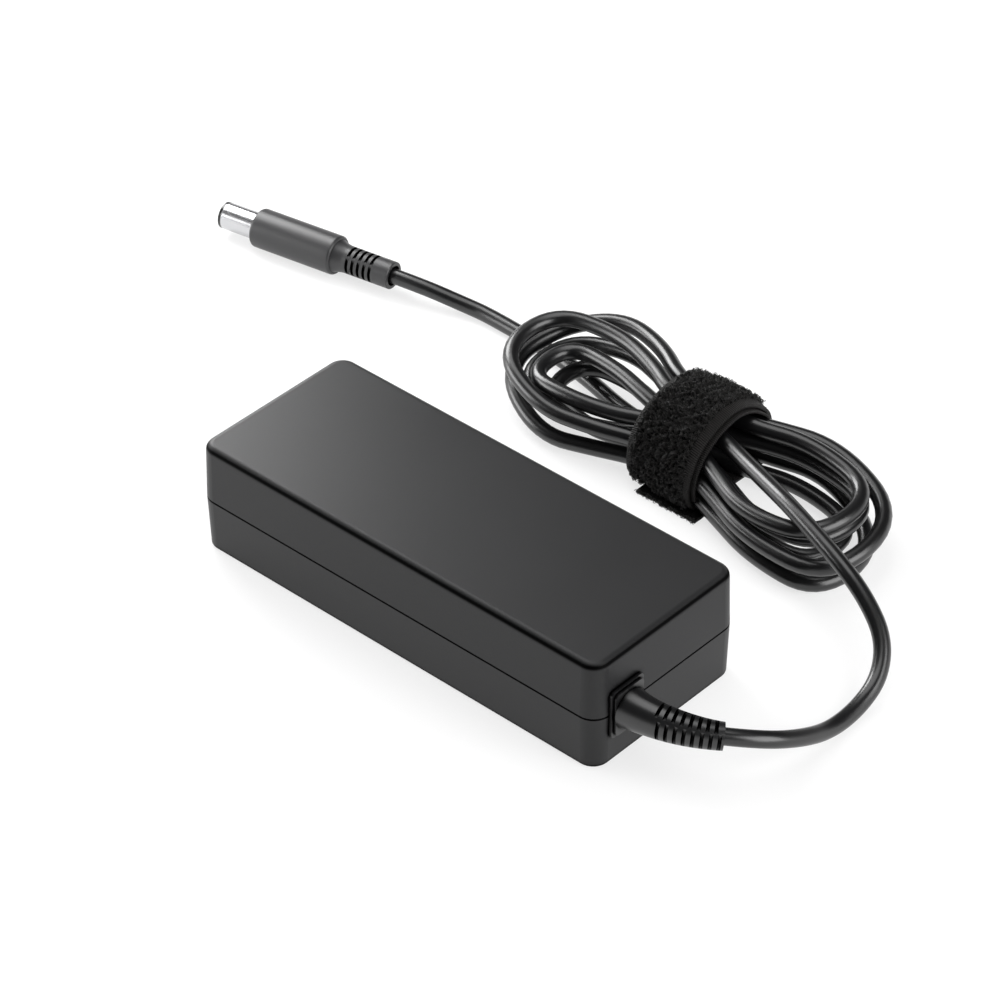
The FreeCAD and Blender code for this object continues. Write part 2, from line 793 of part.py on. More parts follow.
def plug_grip():
    """Overmoulded grip: a straight body, a hollow shoulder and a slotted relief with the cord's hole."""
    front = barrel_length
    body_end = front + grip_length
    relief_start = body_end + shoulder_length
    end = relief_start + plug_relief_length
    seat_end = barrel_length + barrel_seat
    seat = barrel_seat_radius + fit_gap / 3
    body = grip_radius
    neck = plug_relief_radius
    bend = grip_round * (1 - math.sqrt(0.5))
    hollow = shoulder_length * 0.35
    profile = [
        (front, seat),
        (front, body - grip_round, front + bend, body - bend),
        (front + grip_round, body),
        (body_end - grip_round, body, body_end - bend, body - bend),
        (body_end, body - grip_round, body_end + hollow, neck + (body - neck) * 0.22),
        (relief_start, neck),
        (end - bend, neck),
        (end, neck - bend),
        (end, cord_hole_radius),
        (end - cord_hole_depth, cord_hole_radius),
        (end - cord_hole_depth, 0),
        (seat_end + fit_gap / 3, 0),
        (seat_end + fit_gap / 3, seat),
    ]
    grip = turned(profile)
    cutters = []
    for index in range(plug_slots):
        centre = X_AXIS * (relief_start + plug_slot_start + plug_slot_pitch * index)
        for across in (False, True):
            cutters += slot_pair(centre, X_AXIS, neck, across)
    return plug_placed(grip.cut(cutters))


def plug_cord_seat():
    """Where the cord meets the bottom of the hole in the plug's relief, and its heading out of it."""
    turn = math.radians(plug_turn)
    heading = Vector(math.cos(turn), math.sin(turn), 0)
    tip = Vector(plug_x, plug_y, plug_axis_height)
    return tip + heading * (plug_length - cord_hole_depth), heading


def toroid_windings(centre, radius, bore, height, thickness, sweep_angle):
    """Two wound sectors that hug a ring core, facing each other across it."""
    gap = fit_gap / 2
    sectors = []
    for middle in (0, 180):
        start = math.radians(middle - sweep_angle / 2)
        outer = Part.makeCylinder(radius + gap + thickness, height + 2 * (gap + thickness),
                                  centre - Z_AXIS * (gap + thickness), Z_AXIS, sweep_angle)
        inner = Part.makeCylinder(bore - gap - thickness, height + 2 * (gap + thickness),
                                  centre - Z_AXIS * (gap + thickness), Z_AXIS, sweep_angle)
        core_room = ring(radius + gap, bore - gap, height + 2 * gap, centre - Z_AXIS * gap)
        sector = outer.cut([inner])
        sector.rotate(centre, Z_AXIS, math.degrees(start))
        sectors.append(sector.cut(core_room))
    return Part.makeCompound(sectors)


def on_board(x, y, lift=0.0):
    return Vector(x, y, board_top + lift)


def standing_box(x0, y0, size):
    length, depth, height = size
    return box(x0, x0 + length, y0, y0 + depth, board_top, board_top + height)


def can_capacitor(base, radius, length, direction):
    """Aluminium can with its rolled neck near the foot."""
    can = cylinder(radius, length, base, direction)
    rims = [edge for edge in can.Edges if edge.Closed]
    can = can.makeChamfer(radius * 0.1, rims)
    neck = ring(radius * 1.1, radius * 0.94, radius * 0.16, base + direction * (radius * 0.45), direction)
    return can.cut(neck)


def screw_height():
    return board_top + package_lift + package_height + tab_height / 2


def power_package(x0, sink_face, side):
    """Three-legged power device: moulded body, metal tab and legs, its back on the heat sink's face."""
    y_tab = sorted((sink_face, sink_face - side * tab_thickness))
    y_body = sorted((sink_face - side * fit_gap, sink_face - side * package_thickness))
    z0 = board_top + package_lift
    body = box(x0, x0 + package_width, y_body[0], y_body[1], z0, z0 + package_height)
    tab = box(x0, x0 + package_width, y_tab[0], y_tab[1], z0, z0 + package_height + tab_height)
    middle = x0 + package_width / 2
    hole = cylinder(screw_radius + fit_gap, 4 * tab_thickness,
                    Vector(middle, y_tab[0] - tab_thickness, screw_height()), Y_AXIS)
    legs = []
    for step in (-1, 0, 1):
        leg_y = (y_body[0] + y_body[1]) / 2
        leg_x = middle + step * package_width / 4
        legs.append(box(leg_x - 0.5, leg_x + 0.5, leg_y - 0.3, leg_y + 0.3, board_top, z0))
    return fuse(body, [tab] + legs).cut(hole)


def heat_sink(x0, length, outer_face, side, screw_x):
    """Bent plate: an upright wall on the board with a shelf over the parts beside it and a screw hole."""
    wall_y = sorted((outer_face, outer_face - side * sink_thickness))
    shelf_y = sorted((outer_face, outer_face - side * sink_shelf))
    top = board_top + sink_height
    plate = box(x0, x0 + length, wall_y[0], wall_y[1], board_top, top)
    shelf = box(x0, x0 + length, shelf_y[0], shelf_y[1], top - sink_thickness, top)
    hole = cylinder(screw_radius + fit_gap / 2, 2 * sink_thickness,
                    Vector(screw_x, wall_y[0] - sink_thickness / 2, screw_height()), Y_AXIS)
    return plate.fuse(shelf).removeSplitter().cut(hole)


def sink_screw(x, sink_face, side):
    """Screw through the device's tab into the heat sink, its head against the tab."""
    seat = Vector(x, sink_face - side * tab_thickness, screw_height())
    head = cylinder(screw_head_radius, screw_head_height, seat, Y_AXIS * -side)
    shank = cylinder(screw_radius, tab_thickness + sink_thickness, seat, Y_AXIS * side)
    return head.fuse(shank)


def transformer_place():
    along, across = transformer_place_from_mains
    return Vector(mains_end + along, across, board_top + bobbin_lift)


def transformer_core():
    centre = transformer_place()
    body = box(-core_length / 2, core_length / 2, -core_depth / 2, core_depth / 2, 0, core_height)
    window = box(-core_length / 2 + core_plate, core_length / 2 - core_plate, -core_depth, core_depth,
                 core_plate, core_height - core_plate)
    leg = cylinder(core_leg_radius, core_height, Vector())
    core = body.cut(window).fuse(leg).removeSplitter()
    core.translate(centre)
    return core


def transformer_bobbin():
    centre = transformer_place()
    low = core_plate + fit_gap
    high = core_height - core_plate - fit_gap
    bore = core_leg_radius + fit_gap
    half = core_length / 2 - core_plate - fit_gap
    pieces = []
    for z in (low, high - bobbin_wall):
        pieces.append(box(-half, half, -winding_radius, winding_radius, z, z + bobbin_wall))
    for side in (-1, 1):
        y0, y1 = sorted((side * winding_radius, side * (core_depth / 2 + fit_gap)))
        pieces.append(box(-half, half, y0, y1, -bobbin_lift, low + bobbin_wall / 2))
    bobbin = fuse(cylinder(bore + bobbin_wall, high - low, Vector(0, 0, low)), pieces)
    bobbin = bobbin.cut(cylinder(bore, core_height, Vector()))
    bobbin.translate(centre)
    return bobbin


def transformer_winding():
    centre = transformer_place()
    low = core_plate + 2 * fit_gap + bobbin_wall
    high = core_height - core_plate - 2 * fit_gap - bobbin_wall
    inner = core_leg_radius + bobbin_wall + 2 * fit_gap
    return ring(winding_radius - fit_gap, inner, high - low, centre + Z_AXIS * low)


def dc_leads():
    """The cord's two conductors from the collar of the strain relief down to the board."""
    x0 = cord_end - wall - draft_inset - fit_gap - collar_thickness
    leads = []
    for side in (-1, 1):
        y = relief_y + side * lead_spread
        corner = Vector(x0 - lead_reach, y, relief_z)
        wire, radii = bent_wire([Vector(x0, y, relief_z), corner, Vector(corner.x, y, board_top)], lead_bend)
        leads.append(sweep(wire, lead_radius))
    return Part.makeCompound(leads)


def board_parts():
    """Everything that stands on the board, by name."""
    side_face = board_half_width - shield_thickness - 2 * fit_gap
    sink_face = side_face - sink_thickness
    parts = {}
    parts["fuse"] = standing_box(mains_end + fuse_from_mains, -side_face, fuse_size)
    varistor_at = on_board(mains_end + varistor_from_mains, -side_face + fuse_size[1] + varistor_spacing,
                           varistor_radius)
    parts["varistor"] = cylinder(varistor_radius, varistor_thickness, varistor_at, Y_AXIS)
    parts["x_capacitor"] = standing_box(mains_end + x_capacitor_from_mains, -side_face, x_capacitor_size)
    choke_at = on_board(mains_end + choke_place[0], side_face - choke_place[1], choke_winding + fit_gap)
    parts["choke_core"] = ring(choke_radius, choke_bore, choke_height, choke_at)
    parts["choke_windings"] = toroid_windings(choke_at, choke_radius, choke_bore, choke_height,
                                              choke_winding, choke_wound)
    pfc_at = on_board(mains_end + pfc_place[0], pfc_place[1], pfc_winding + fit_gap)
    parts["pfc_core"] = ring(pfc_radius, pfc_bore, pfc_height, pfc_at)
    parts["pfc_winding"] = toroid_windings(pfc_at, pfc_radius, pfc_bore, pfc_height, pfc_winding, pfc_wound)
    bulk_at = on_board(mains_end + bulk_from_mains, -side_face + bulk_radius, bulk_radius)
    parts["bulk_capacitor"] = can_capacitor(bulk_at, bulk_radius, bulk_length, X_AXIS)
    sink_x = mains_end + primary_sink_from_mains
    length, depth, height = bridge_size
    bridge_x = sink_x + package_spacing
    parts["bridge_rectifier"] = standing_box(bridge_x, sink_face - depth, bridge_size)
    switch_x = bridge_x + length + package_spacing
    switch_screw_x = switch_x + package_width / 2
    parts["primary_heat_sink"] = heat_sink(sink_x, primary_sink_length, side_face, 1, switch_screw_x)
    parts["switching_transistor"] = power_package(switch_x, sink_face, 1)
    y_capacitor_at = on_board(cord_end - y_capacitor_from_cord, side_face - disc_thickness, disc_radius)
    parts["y_capacitor"] = cylinder(disc_radius, disc_thickness, y_capacitor_at, Y_AXIS)
    parts["optocoupler"] = standing_box(cord_end - optocoupler_from_cord, side_face - opto_size[1], opto_size)
    output_choke_at = on_board(cord_end - output_choke_place[0], side_face - output_choke_place[1],
                               output_choke_winding + fit_gap)
    parts["output_choke_core"] = ring(output_choke_radius, output_choke_bore, output_choke_height,
                                      output_choke_at)
    parts["output_choke_winding"] = toroid_windings(output_choke_at, output_choke_radius, output_choke_bore,
                                                    output_choke_height, output_choke_winding,
                                                    output_choke_wound)
    second_x = cord_end - secondary_sink_from_cord
    rectifier_screw_x = second_x + secondary_sink_length / 2
    rectifier_x = rectifier_screw_x - package_width / 2
    parts["secondary_heat_sink"] = heat_sink(second_x, secondary_sink_length, -side_face, -1,
                                             rectifier_screw_x)
    parts["output_rectifier"] = power_package(rectifier_x, -sink_face, -1)
    parts["output_capacitors"] = Part.makeCompound([
        can_capacitor(on_board(cord_end - along, across), output_radius, output_height, Z_AXIS)
        for along, across in output_capacitor_places])
    parts["heat_sink_screws"] = Part.makeCompound([
        sink_screw(switch_screw_x, sink_face, 1),
        sink_screw(rectifier_screw_x, -sink_face, -1)])
    length, depth, height = controller_size
    chip_x = mains_end + controller_place[0]
    parts["controller_chip"] = box(chip_x, chip_x + length, controller_place[1], controller_place[1] + depth,
                                   board_bottom - height, board_bottom)
    return parts


def build():
    live, neutral, earth = inlet_pin_places()
    bundle = hank_wire()
    hank_start, inward = run_keys(plug_run)[0]
    hank_end = straight_end(run_keys(crossing_run)[-1], cord_diameter)
    adapter_side = free_cord("cord_adapter_side", hank_end, adapter_route, boot_frame(1), adapter_end_runs)
    plug_side = free_cord("cord_plug_side", (hank_start, -inward), plug_route, plug_cord_seat(),
                          plug_end_runs)
    parts = {
        "bottom_case": bottom_case(),
        "top_cover": top_cover(),
        "circuit_board": circuit_board(),
        "insulation_sheet": insulation_sheet(),
        "heat_shield": heat_shield(),
        "ac_inlet": ac_inlet(),
        "inlet_live_pin": inlet_pin(live),
        "inlet_neutral_pin": inlet_pin(neutral),
        "inlet_earth_pin": inlet_pin(earth),
        "transformer_core": transformer_core(),
        "transformer_bobbin": transformer_bobbin(),
        "transformer_winding": transformer_winding(),
        "dc_leads": dc_leads(),
        "strain_relief": strain_relief(),
        "cord_adapter_side": adapter_side,
        "cord_hank": cord_hank(bundle),
        "cord_plug_side": plug_side,
        "cable_strap": cable_strap(bundle),
        "plug_grip": plug_grip(),
        "plug_barrel": plug_barrel(),
        "plug_insulator": plug_insulator(),
        "plug_inner_contact": plug_inner_contact(),
        "plug_centre_pin": plug_centre_pin(),
    }
    parts.update(board_parts())
    return parts


os.makedirs("parts", exist_ok=True)
for name, shape in build().items():
    shape.exportStep("parts/" + name + ".step")
    print(name, "solids", len(shape.Solids), "valid", shape.isValid(), "volume", round(shape.Volume, 1))
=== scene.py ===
import bpy
import json
import math
import numpy as np
from mathutils import Matrix, Vector


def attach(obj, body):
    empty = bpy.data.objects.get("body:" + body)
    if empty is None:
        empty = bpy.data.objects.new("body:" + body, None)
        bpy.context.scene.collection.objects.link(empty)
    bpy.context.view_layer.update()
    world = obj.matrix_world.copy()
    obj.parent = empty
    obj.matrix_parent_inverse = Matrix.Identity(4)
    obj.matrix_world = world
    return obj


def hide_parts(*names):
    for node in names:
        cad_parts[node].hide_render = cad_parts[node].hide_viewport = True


bl_info = {
    "name": "Laptop Power Adapter",
    "version": (1, 0, 0),
    "blender": (4, 5, 0),
    "location": "View3D > Sidebar > Adapter",
    "description": "Dresses the packed adapter: moulded shells, wound cord, loop-pile strap and barrel plug",
    "category": "Object",
}

MM = 0.001
# Size below which a length or a spread counts as nought in a division
TINY = 1e-9
ROOT = "root"

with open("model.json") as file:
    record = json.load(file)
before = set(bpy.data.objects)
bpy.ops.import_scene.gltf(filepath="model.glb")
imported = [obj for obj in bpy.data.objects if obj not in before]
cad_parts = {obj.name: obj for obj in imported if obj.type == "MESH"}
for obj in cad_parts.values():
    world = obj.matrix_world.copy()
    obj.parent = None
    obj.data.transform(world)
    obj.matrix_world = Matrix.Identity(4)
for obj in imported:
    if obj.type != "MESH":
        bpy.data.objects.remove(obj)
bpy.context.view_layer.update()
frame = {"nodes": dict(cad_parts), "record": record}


# Shader helpers: one that returns a pair gives a node and its output, ready to be linked

WHITE = (1, 1, 1, 1)
# Sockets of the Mix node that carry colours
MIX_FIRST, MIX_SECOND, MIX_RESULT = 6, 7, 2


def rgba(text):
    """Linear colour, fully opaque, of an sRGB hex value such as #2a2a2b."""
    parts = [int(text[place:place + 2], 16) / 255 for place in (1, 3, 5)]
    return (*(part / 12.92 if part <= 0.04045 else ((part + 0.055) / 1.055) ** 2.4 for part in parts), 1.0)


def add_node(tree, kind, settings=None, links=None):
    """Adds a node, sets its properties or inputs and links its inputs to (node, output) pairs."""
    node = tree.nodes.new(kind)
    for name, value in (settings or {}).items():
        if isinstance(name, int) or name in node.inputs:
            node.inputs[name].default_value = value
        else:
            setattr(node, name, value)
    for name, (source, output) in (links or {}).items():
        tree.links.new(source.outputs[output], node.inputs[name])
    return node


def compute(tree, operation, *terms):
    """Result of a math node on numbers and pairs."""
    settings, links = {"operation": operation}, {}
    for socket, term in enumerate(terms):
        (links if isinstance(term, tuple) else settings)[socket] = term
    return add_node(tree, "ShaderNodeMath", settings, links), 0


def map_range(tree, source, span, low=0.0, high=1.0):
    """The source's span mapped to low and high, and held there beyond it."""
    return add_node(tree, "ShaderNodeMapRange",
                    {"From Min": span[0], "From Max": span[1], "To Min": low, "To Max": high},
                    {"Value": source}), 0


def mix_colours(tree, share, first, second):
    """Mix of two colours, each an sRGB hex value or a pair, by the second one's share."""
    settings, links = {"data_type": "RGBA"}, {0: share}
    for socket, colour in ((MIX_FIRST, first), (MIX_SECOND, second)):
        if isinstance(colour, str):
            settings[socket] = rgba(colour)
        else:
            links[socket] = colour
    return add_node(tree, "ShaderNodeMix", settings, links), MIX_RESULT


def noise(tree, place, spacing, detail, **settings):
    """Noise in object space whose features are that many millimetres apart."""
    return add_node(tree, "ShaderNodeTexNoise",
                    {"Scale": 1 / (spacing * MM), "Detail": detail, **settings},
                    {"Vector": (place, "Object")}), "Fac"


def bump(tree, height, depth, strength=1.0):
    """Relief of the height, as deep as that many millimetres."""
    return add_node(tree, "ShaderNodeBump", {"Strength": strength, "Distance": depth * MM},
                    {"Height": height}), "Normal"


def eye_rays(tree):
    """1 for rays that show a thing to the eye, straight, through glass or mirrored, and 0 for its light."""
    ray = add_node(tree, "ShaderNodeLightPath")
    seen = compute(tree, "MAXIMUM", (ray, "Is Camera Ray"), (ray, "Is Transmission Ray"))
    return compute(tree, "MAXIMUM", seen, (ray, "Is Glossy Ray"))


def new_material(name):
    """Material with an empty node tree."""
    material = bpy.data.materials.new(name)
    material.use_nodes = True
    material.node_tree.nodes.clear()
    return material, material.node_tree


def finish_surface(tree, settings, links):
    surface = add_node(tree, "ShaderNodeBsdfPrincipled", settings, links)
    add_node(tree, "ShaderNodeOutputMaterial", None, {"Surface": (surface, "BSDF")})


# Object helpers

def add_object(name, data):
    """Links a new object with that data to the scene."""
    added = bpy.data.objects.new(name, data)
    bpy.context.scene.collection.objects.link(added)
    return added


def mesh_object(name, places, faces, materials, smooth=True):
    """New mesh object through places in millimetres."""
    mesh = bpy.data.meshes.new(name)
    mesh.from_pydata((np.asarray(places, float) * MM).tolist(), [], faces)
    mesh.polygons.foreach_set("use_smooth", [smooth] * len(faces))
    for material in materials:
        mesh.materials.append(material)
    mesh.update()
    return add_object(name, mesh)


# Finishes

# The fine grain's share in the drift of a surface's colour
FINE_SHARE = 0.45
# Colour of the painted shade in a hollow, how open a place is where that shade is full and where it ends, and
# the samples that tell it
SHADE = "#020202"
OPENNESS = (0.6, 0.94)
OPENNESS_SAMPLES = 8
# Where the painted dark reflection on a level edge sets in and fades again: how far its face is tilted, from
# 0 for a wall to 1 for a level face
EDGE_SHADE_STARTS = (0.2, 0.45)
EDGE_SHADE_ENDS = (0.68, 0.88)
# Radians by which the wave texture's bands turn in one unit
WAVE_TURN = 20
STRAP_UV = "strap"
# Millimetres from the plug's tip between which the painted shade at the barrel's mouth passes into bare metal
MOUTH_SHADE_SPAN = (0.8, 1.1)


def light_kept(tree, hollow, edges):
    """Share of light left by painted shade in hollows narrower than hollow millimetres and, if set, on edges.
    """
    openness = add_node(tree, "ShaderNodeAmbientOcclusion",
                        {"samples": OPENNESS_SAMPLES, "Distance": hollow * MM})
    kept = map_range(tree, (openness, "AO"), OPENNESS)
    # Painted dark reflection on the slanting faces of level edges
    if edges:
        facing = add_node(tree, "ShaderNodeNewGeometry")
        turned = add_node(tree, "ShaderNodeVectorMath", {"operation": "ABSOLUTE"}, {0: (facing, "Normal")})
        axes = add_node(tree, "ShaderNodeSeparateXYZ", None, {0: (turned, 0)})
        below = map_range(tree, (axes, "Z"), EDGE_SHADE_STARTS, 1.0, 1 - edges)
        above = map_range(tree, (axes, "Z"), EDGE_SHADE_ENDS, 1 - edges, 1.0)
        kept = compute(tree, "MULTIPLY", kept, compute(tree, "MAXIMUM", below, above))
    return kept


def grained(name, dark, light, grain, depth, roughness, spread=0.06, metallic=0.0, patch=14.0, shine=0.5,
            hollow=0.0, edges=0.0):
    """Moulded, cast or rolled surface: a fine grain in relief, and colour and gloss that drift over it.

    Lengths are in millimetres. Hollows narrower than hollow get painted shade in their colour and gloss,
    and edges is the share of its light that a level edge's slanting face loses to a painted dark reflection
    of the room.
    """
    material, tree = new_material(name)
    place = add_node(tree, "ShaderNodeTexCoord")
    fine = noise(tree, place, grain, 3.0, Roughness=0.6)
    broad = noise(tree, place, patch, 2.0)
    share = compute(tree, "MULTIPLY_ADD", broad, 1 - FINE_SHARE, compute(tree, "MULTIPLY", fine, FINE_SHARE))
    colour = mix_colours(tree, share, dark, light)
    links = {"Roughness": map_range(tree, broad, (0.0, 1.0), roughness - spread, roughness + spread),
             "Normal": bump(tree, fine, depth)}
    # Painted shade: hollows and, if edges is set, level edges get darker colour and less gloss
    if hollow:
        kept = light_kept(tree, hollow, edges)
        colour = mix_colours(tree, kept, SHADE, colour)
        links["Specular IOR Level"] = compute(tree, "MULTIPLY", kept, shine)
    links["Base Color"] = colour
    finish_surface(tree, {"Metallic": metallic, "Specular IOR Level": shine}, links)
    return material


def housing_plastic(settings):
    """Moulded polycarbonate and ABS from a spark-eroded tool: dead matte charcoal with a pin-fine grain."""
    # Painted shade darkens the seams and other hollows, and a painted dark reflection the level edges
    return grained("moulded_pc_abs", settings.housing_dark, settings.housing_light,
                   settings.housing_grain / MM, 0.012, 0.42, spread=0.03, patch=30.0, shine=0.3, hollow=1.7,
                   edges=0.95)


def cord_vinyl(settings):
    """Extruded plasticised PVC: black and glossy, with the slow waviness of a soft jacket."""
    return grained("extruded_pvc", settings.cord_dark, settings.cord_light, 2.4, 0.002, 0.3,
                   spread=0.03, patch=9.0, shine=0.72)


def boot_vinyl():
    """Overmoulded soft PVC: satin black, with its slots painted nearly black as shade."""
    return grained("overmoulded_pvc", "#0b0b0c", "#131314", 0.5, 0.004, 0.3, spread=0.04, shine=0.8,
                   hollow=1.6)


def grip_vinyl():
    """Overmoulded PVC from a lightly blasted tool: dark grey satin."""
    # Painted shade darkens the slots and other hollows
    return grained("blasted_pvc", "#252526", "#2e2e2f", 0.45, 0.008, 0.4, spread=0.04, hollow=1.2)


def nickel_plate():
    """Bright nickel on turned brass, finely uneven, with the collar's shade painted black at the mouth's rim.
    """
    material, tree = new_material("turned_nickel_plate")
    place = add_node(tree, "ShaderNodeTexCoord")
    marks = noise(tree, place, 0.6, 4.0)
    turn = math.radians(PLUG_TURN)
    back = (math.cos(turn), math.sin(turn), 0.0)
    tip = sum(part * step for part, step in zip(PLUG_TIP, back))
    along = add_node(tree, "ShaderNodeVectorMath", {"operation": "DOT_PRODUCT", 1: back},
                     {0: (place, "Object")})
    # Painted shade: black up to the mouth's rim, then bare metal
    bare = map_range(tree, (along, "Value"), [(tip + reach) * MM for reach in MOUTH_SHADE_SPAN])
    finish_surface(tree, None, {"Base Color": mix_colours(tree, bare, "#050505", "#c4c4c6"),
                                "Metallic": bare,
                                "Roughness": map_range(tree, marks, (0.0, 1.0), 0.18, 0.3),
                                "Normal": bump(tree, marks, 0.003, strength=0.6)})
    return material


def pile_nylon():
    """Nylon loops: near-black yarn whose round filaments catch small grey glints."""
    return grained("nylon_loop_yarn", "#050505", "#1f1e1c", 0.7, 0.01, 0.4, spread=0.1, patch=2.2, shine=0.36)


def strap_backing():
    """Knitted nylon ground under the loops: dull black and uneven."""
    return grained("knitted_nylon_ground", "#020202", "#080808", 0.7, 0.12, 0.85, spread=0.08, patch=2.0,
                   shine=0.15)


def selvedge_weave(settings):
    """Woven nylon edge: ribs across the edge at the thread spacing, with a soft sheen along them."""
    material, tree = new_material("woven_nylon_selvedge")
    uv = add_node(tree, "ShaderNodeUVMap", {"uv_map": STRAP_UV})
    ribs = add_node(tree, "ShaderNodeTexWave",
                    {"wave_type": "BANDS", "bands_direction": "X",
                     "Scale": math.tau / (WAVE_TURN * settings.thread / MM),
                     "Distortion": 0.6, "Detail": 1.0, "Detail Scale": 2.0},
                    {"Vector": (uv, "UV")}), "Fac"
    finish_surface(tree, {"Roughness": 0.62, "Specular IOR Level": 0.22},
                   {"Base Color": mix_colours(tree, ribs, "#040404", "#211f1e"),
                    "Normal": bump(tree, ribs, 0.16)})
    return material


# Finishes of the pieces inside the housing and the plug, which only show when it is taken apart:
# two colours, grain and its depth in millimetres, roughness and whether it is a metal
INNER_FINISHES = {
    "socket_plastic": ("moulded_pbt", "#101011", "#1a1a1b", 0.6, 0.01, 0.4, 0.0),
    "insulator_plastic": ("moulded_nylon_black", "#0b0b0c", "#161617", 0.4, 0.006, 0.4, 0.0),
    "plated_brass": ("tinned_brass", "#b5aa8c", "#cfc6a8", 0.5, 0.003, 0.22, 1.0),
    "board_laminate": ("glass_epoxy_laminate", "#1d4a2c", "#2c6840", 0.35, 0.01, 0.35, 0.0),
    "polyester_film": ("polyester_film", "#8f8a76", "#a8a48f", 1.5, 0.004, 0.3, 0.0),
    "aluminium_sheet": ("rolled_aluminium", "#a9abad", "#c3c5c7", 0.3, 0.004, 0.36, 1.0),
    "ferrite": ("sintered_ferrite", "#2a2a2c", "#3b3b3e", 0.3, 0.02, 0.6, 0.0),
    "yellow_tape": ("polyester_tape", "#c9a227", "#dcb83f", 1.0, 0.01, 0.35, 0.0),
    "copper": ("enamelled_copper_wire", "#8a4a22", "#b5672f", 0.7, 0.15, 0.3, 0.0),
    "moulding_compound": ("epoxy_moulding_compound", "#17171a", "#26262a", 0.25, 0.01, 0.5, 0.0),
    "blue_lacquer": ("dipped_lacquer", "#1f4f8f", "#2a63ab", 0.8, 0.02, 0.3, 0.0),
    "yellow_case": ("filled_polyester_case", "#d9a92a", "#e6ba44", 0.6, 0.01, 0.4, 0.0),
    "black_sleeve": ("shrunk_pvc_sleeve", "#131316", "#1f1f24", 0.9, 0.01, 0.3, 0.0),
    "steel": ("zinc_plated_steel", "#9a9b9c", "#b4b5b6", 0.4, 0.004, 0.3, 1.0),
}


def inner_finish(slot):
    name, dark, light, grain, depth, roughness, metallic = INNER_FINISHES[slot]
    return grained(name, dark, light, grain, depth, roughness, metallic=metallic, patch=5.0)


# Settings that a user would change

def length_setting(name, description, default, **limits):
    return bpy.props.FloatProperty(name=name, description=description, default=default, unit="LENGTH",
                                   precision=5, **limits)


def colour_setting(name, description, default):
    return bpy.props.StringProperty(name=name, description=description + ", sRGB hex", default=default)


class AdapterShells(bpy.types.PropertyGroup):
    housing_dark: colour_setting("Dark", "Darker colour of the shells", "#19191a")
    housing_light: colour_setting("Light", "Lighter colour of the shells", "#1f1f20")
    housing_grain: length_setting("Grain", "Spacing of the eroded grain", 0.55 * MM, min=0.1 * MM)


class AdapterCord(bpy.types.PropertyGroup):
    diameter: length_setting("Diameter", "Thickness of the cord", 4.2 * MM, min=1 * MM)
    turn_gap: length_setting("Turn gap", "Clear room between layers of the hank", 0.5 * MM, min=0.0)
    cord_dark: colour_setting("Dark", "Darker colour of the jacket", "#080809")
    cord_light: colour_setting("Light", "Lighter colour of the jacket", "#0e0e0f")


class AdapterStrap(bpy.types.PropertyGroup):
    thickness: length_setting("Thickness", "Thickness of the woven strap without its pile", 1.0 * MM)
    selvedge: length_setting("Selvedge", "Width of the smooth edge without loops", 2.5 * MM)
    left_edge: length_setting("Left edge", "Width of the smooth edge on the other side", 1.3 * MM)
    turn_gap: length_setting("Turn gap", "Room between the strap's outer and inner turn", 0.25 * MM)
    pile: length_setting("Pile", "How far the loops stand off the strap", 1.05 * MM)
    yarn: length_setting("Yarn", "Thickness of the pile's yarn, drawn coarse enough to show", 0.17 * MM)
    loops: bpy.props.IntProperty(name="Loops", description="Number of loops in the pile", default=13000,
                                 min=0)
    tuft: bpy.props.IntProperty(name="Tuft", description="Loops matted into one tuft", default=14, min=1)
    thread: length_setting("Thread", "Spacing of the selvedge's ribs, drawn coarse enough to show",
                           0.55 * MM)
    seed: bpy.props.IntProperty(name="Seed", description="Start of the pile's random draws", default=11)


class AdapterStage(bpy.types.PropertyGroup):
    floor: colour_setting("Floor", "Colour of the floor", "#f6f6f6")
    room_light: bpy.props.FloatProperty(name="Room light", description="Strength of the even light",
                                        default=0.36)
    ceiling: bpy.props.FloatProperty(
        name="Ceiling", description="How bright gloss shows the room above the walls", default=0.06)
    lens: bpy.props.FloatProperty(name="Lens", description="Focal length", default=147.72, unit="CAMERA")


# Stage and camera, in millimetres and degrees

CAMERA_PLACE = (517.9, -551.4, 620.4)
CAMERA_YAW = -42.541
CAMERA_DIP = 37.908
CAMERA_ROLL = -0.420
# Softboxes: place, what they point at, width, height in millimetres and power in watts
SOFTBOXES = (
    ("key_softbox", (-170, 120, 720), (-20, 60, 0), 480, 760, 2.8),
    ("left_softbox", (-300, 105, 185), (-50, 0, 25), 170, 150, 0.95),
    ("right_softbox", (900, 150, 450), (30, 40, 0), 900, 800, 11.0),
    ("front_softbox", (-420, -200, 120), (-60, -20, 10), 300, 240, 1.4),
)
# How steeply a ray looks up, from 0 level to 1 overhead, where the white walls pass into the dim ceiling
CEILING_SPAN = (0.05, 0.28)
# Floor: half its side, and how far it lies below the object
FLOOR_REACH = 6000.0
FLOOR_DROP = 0.02
# Share of plain white with which the floor shows to the eye
FLOOR_WHITE = 0.7


def aimed(place, target):
    """Matrix of a lamp at place whose light falls on target."""
    place = Vector(place) * MM
    turn = (Vector(target) * MM - place).to_track_quat("-Z", "Y")
    return Matrix.LocRotScale(place, turn, None)


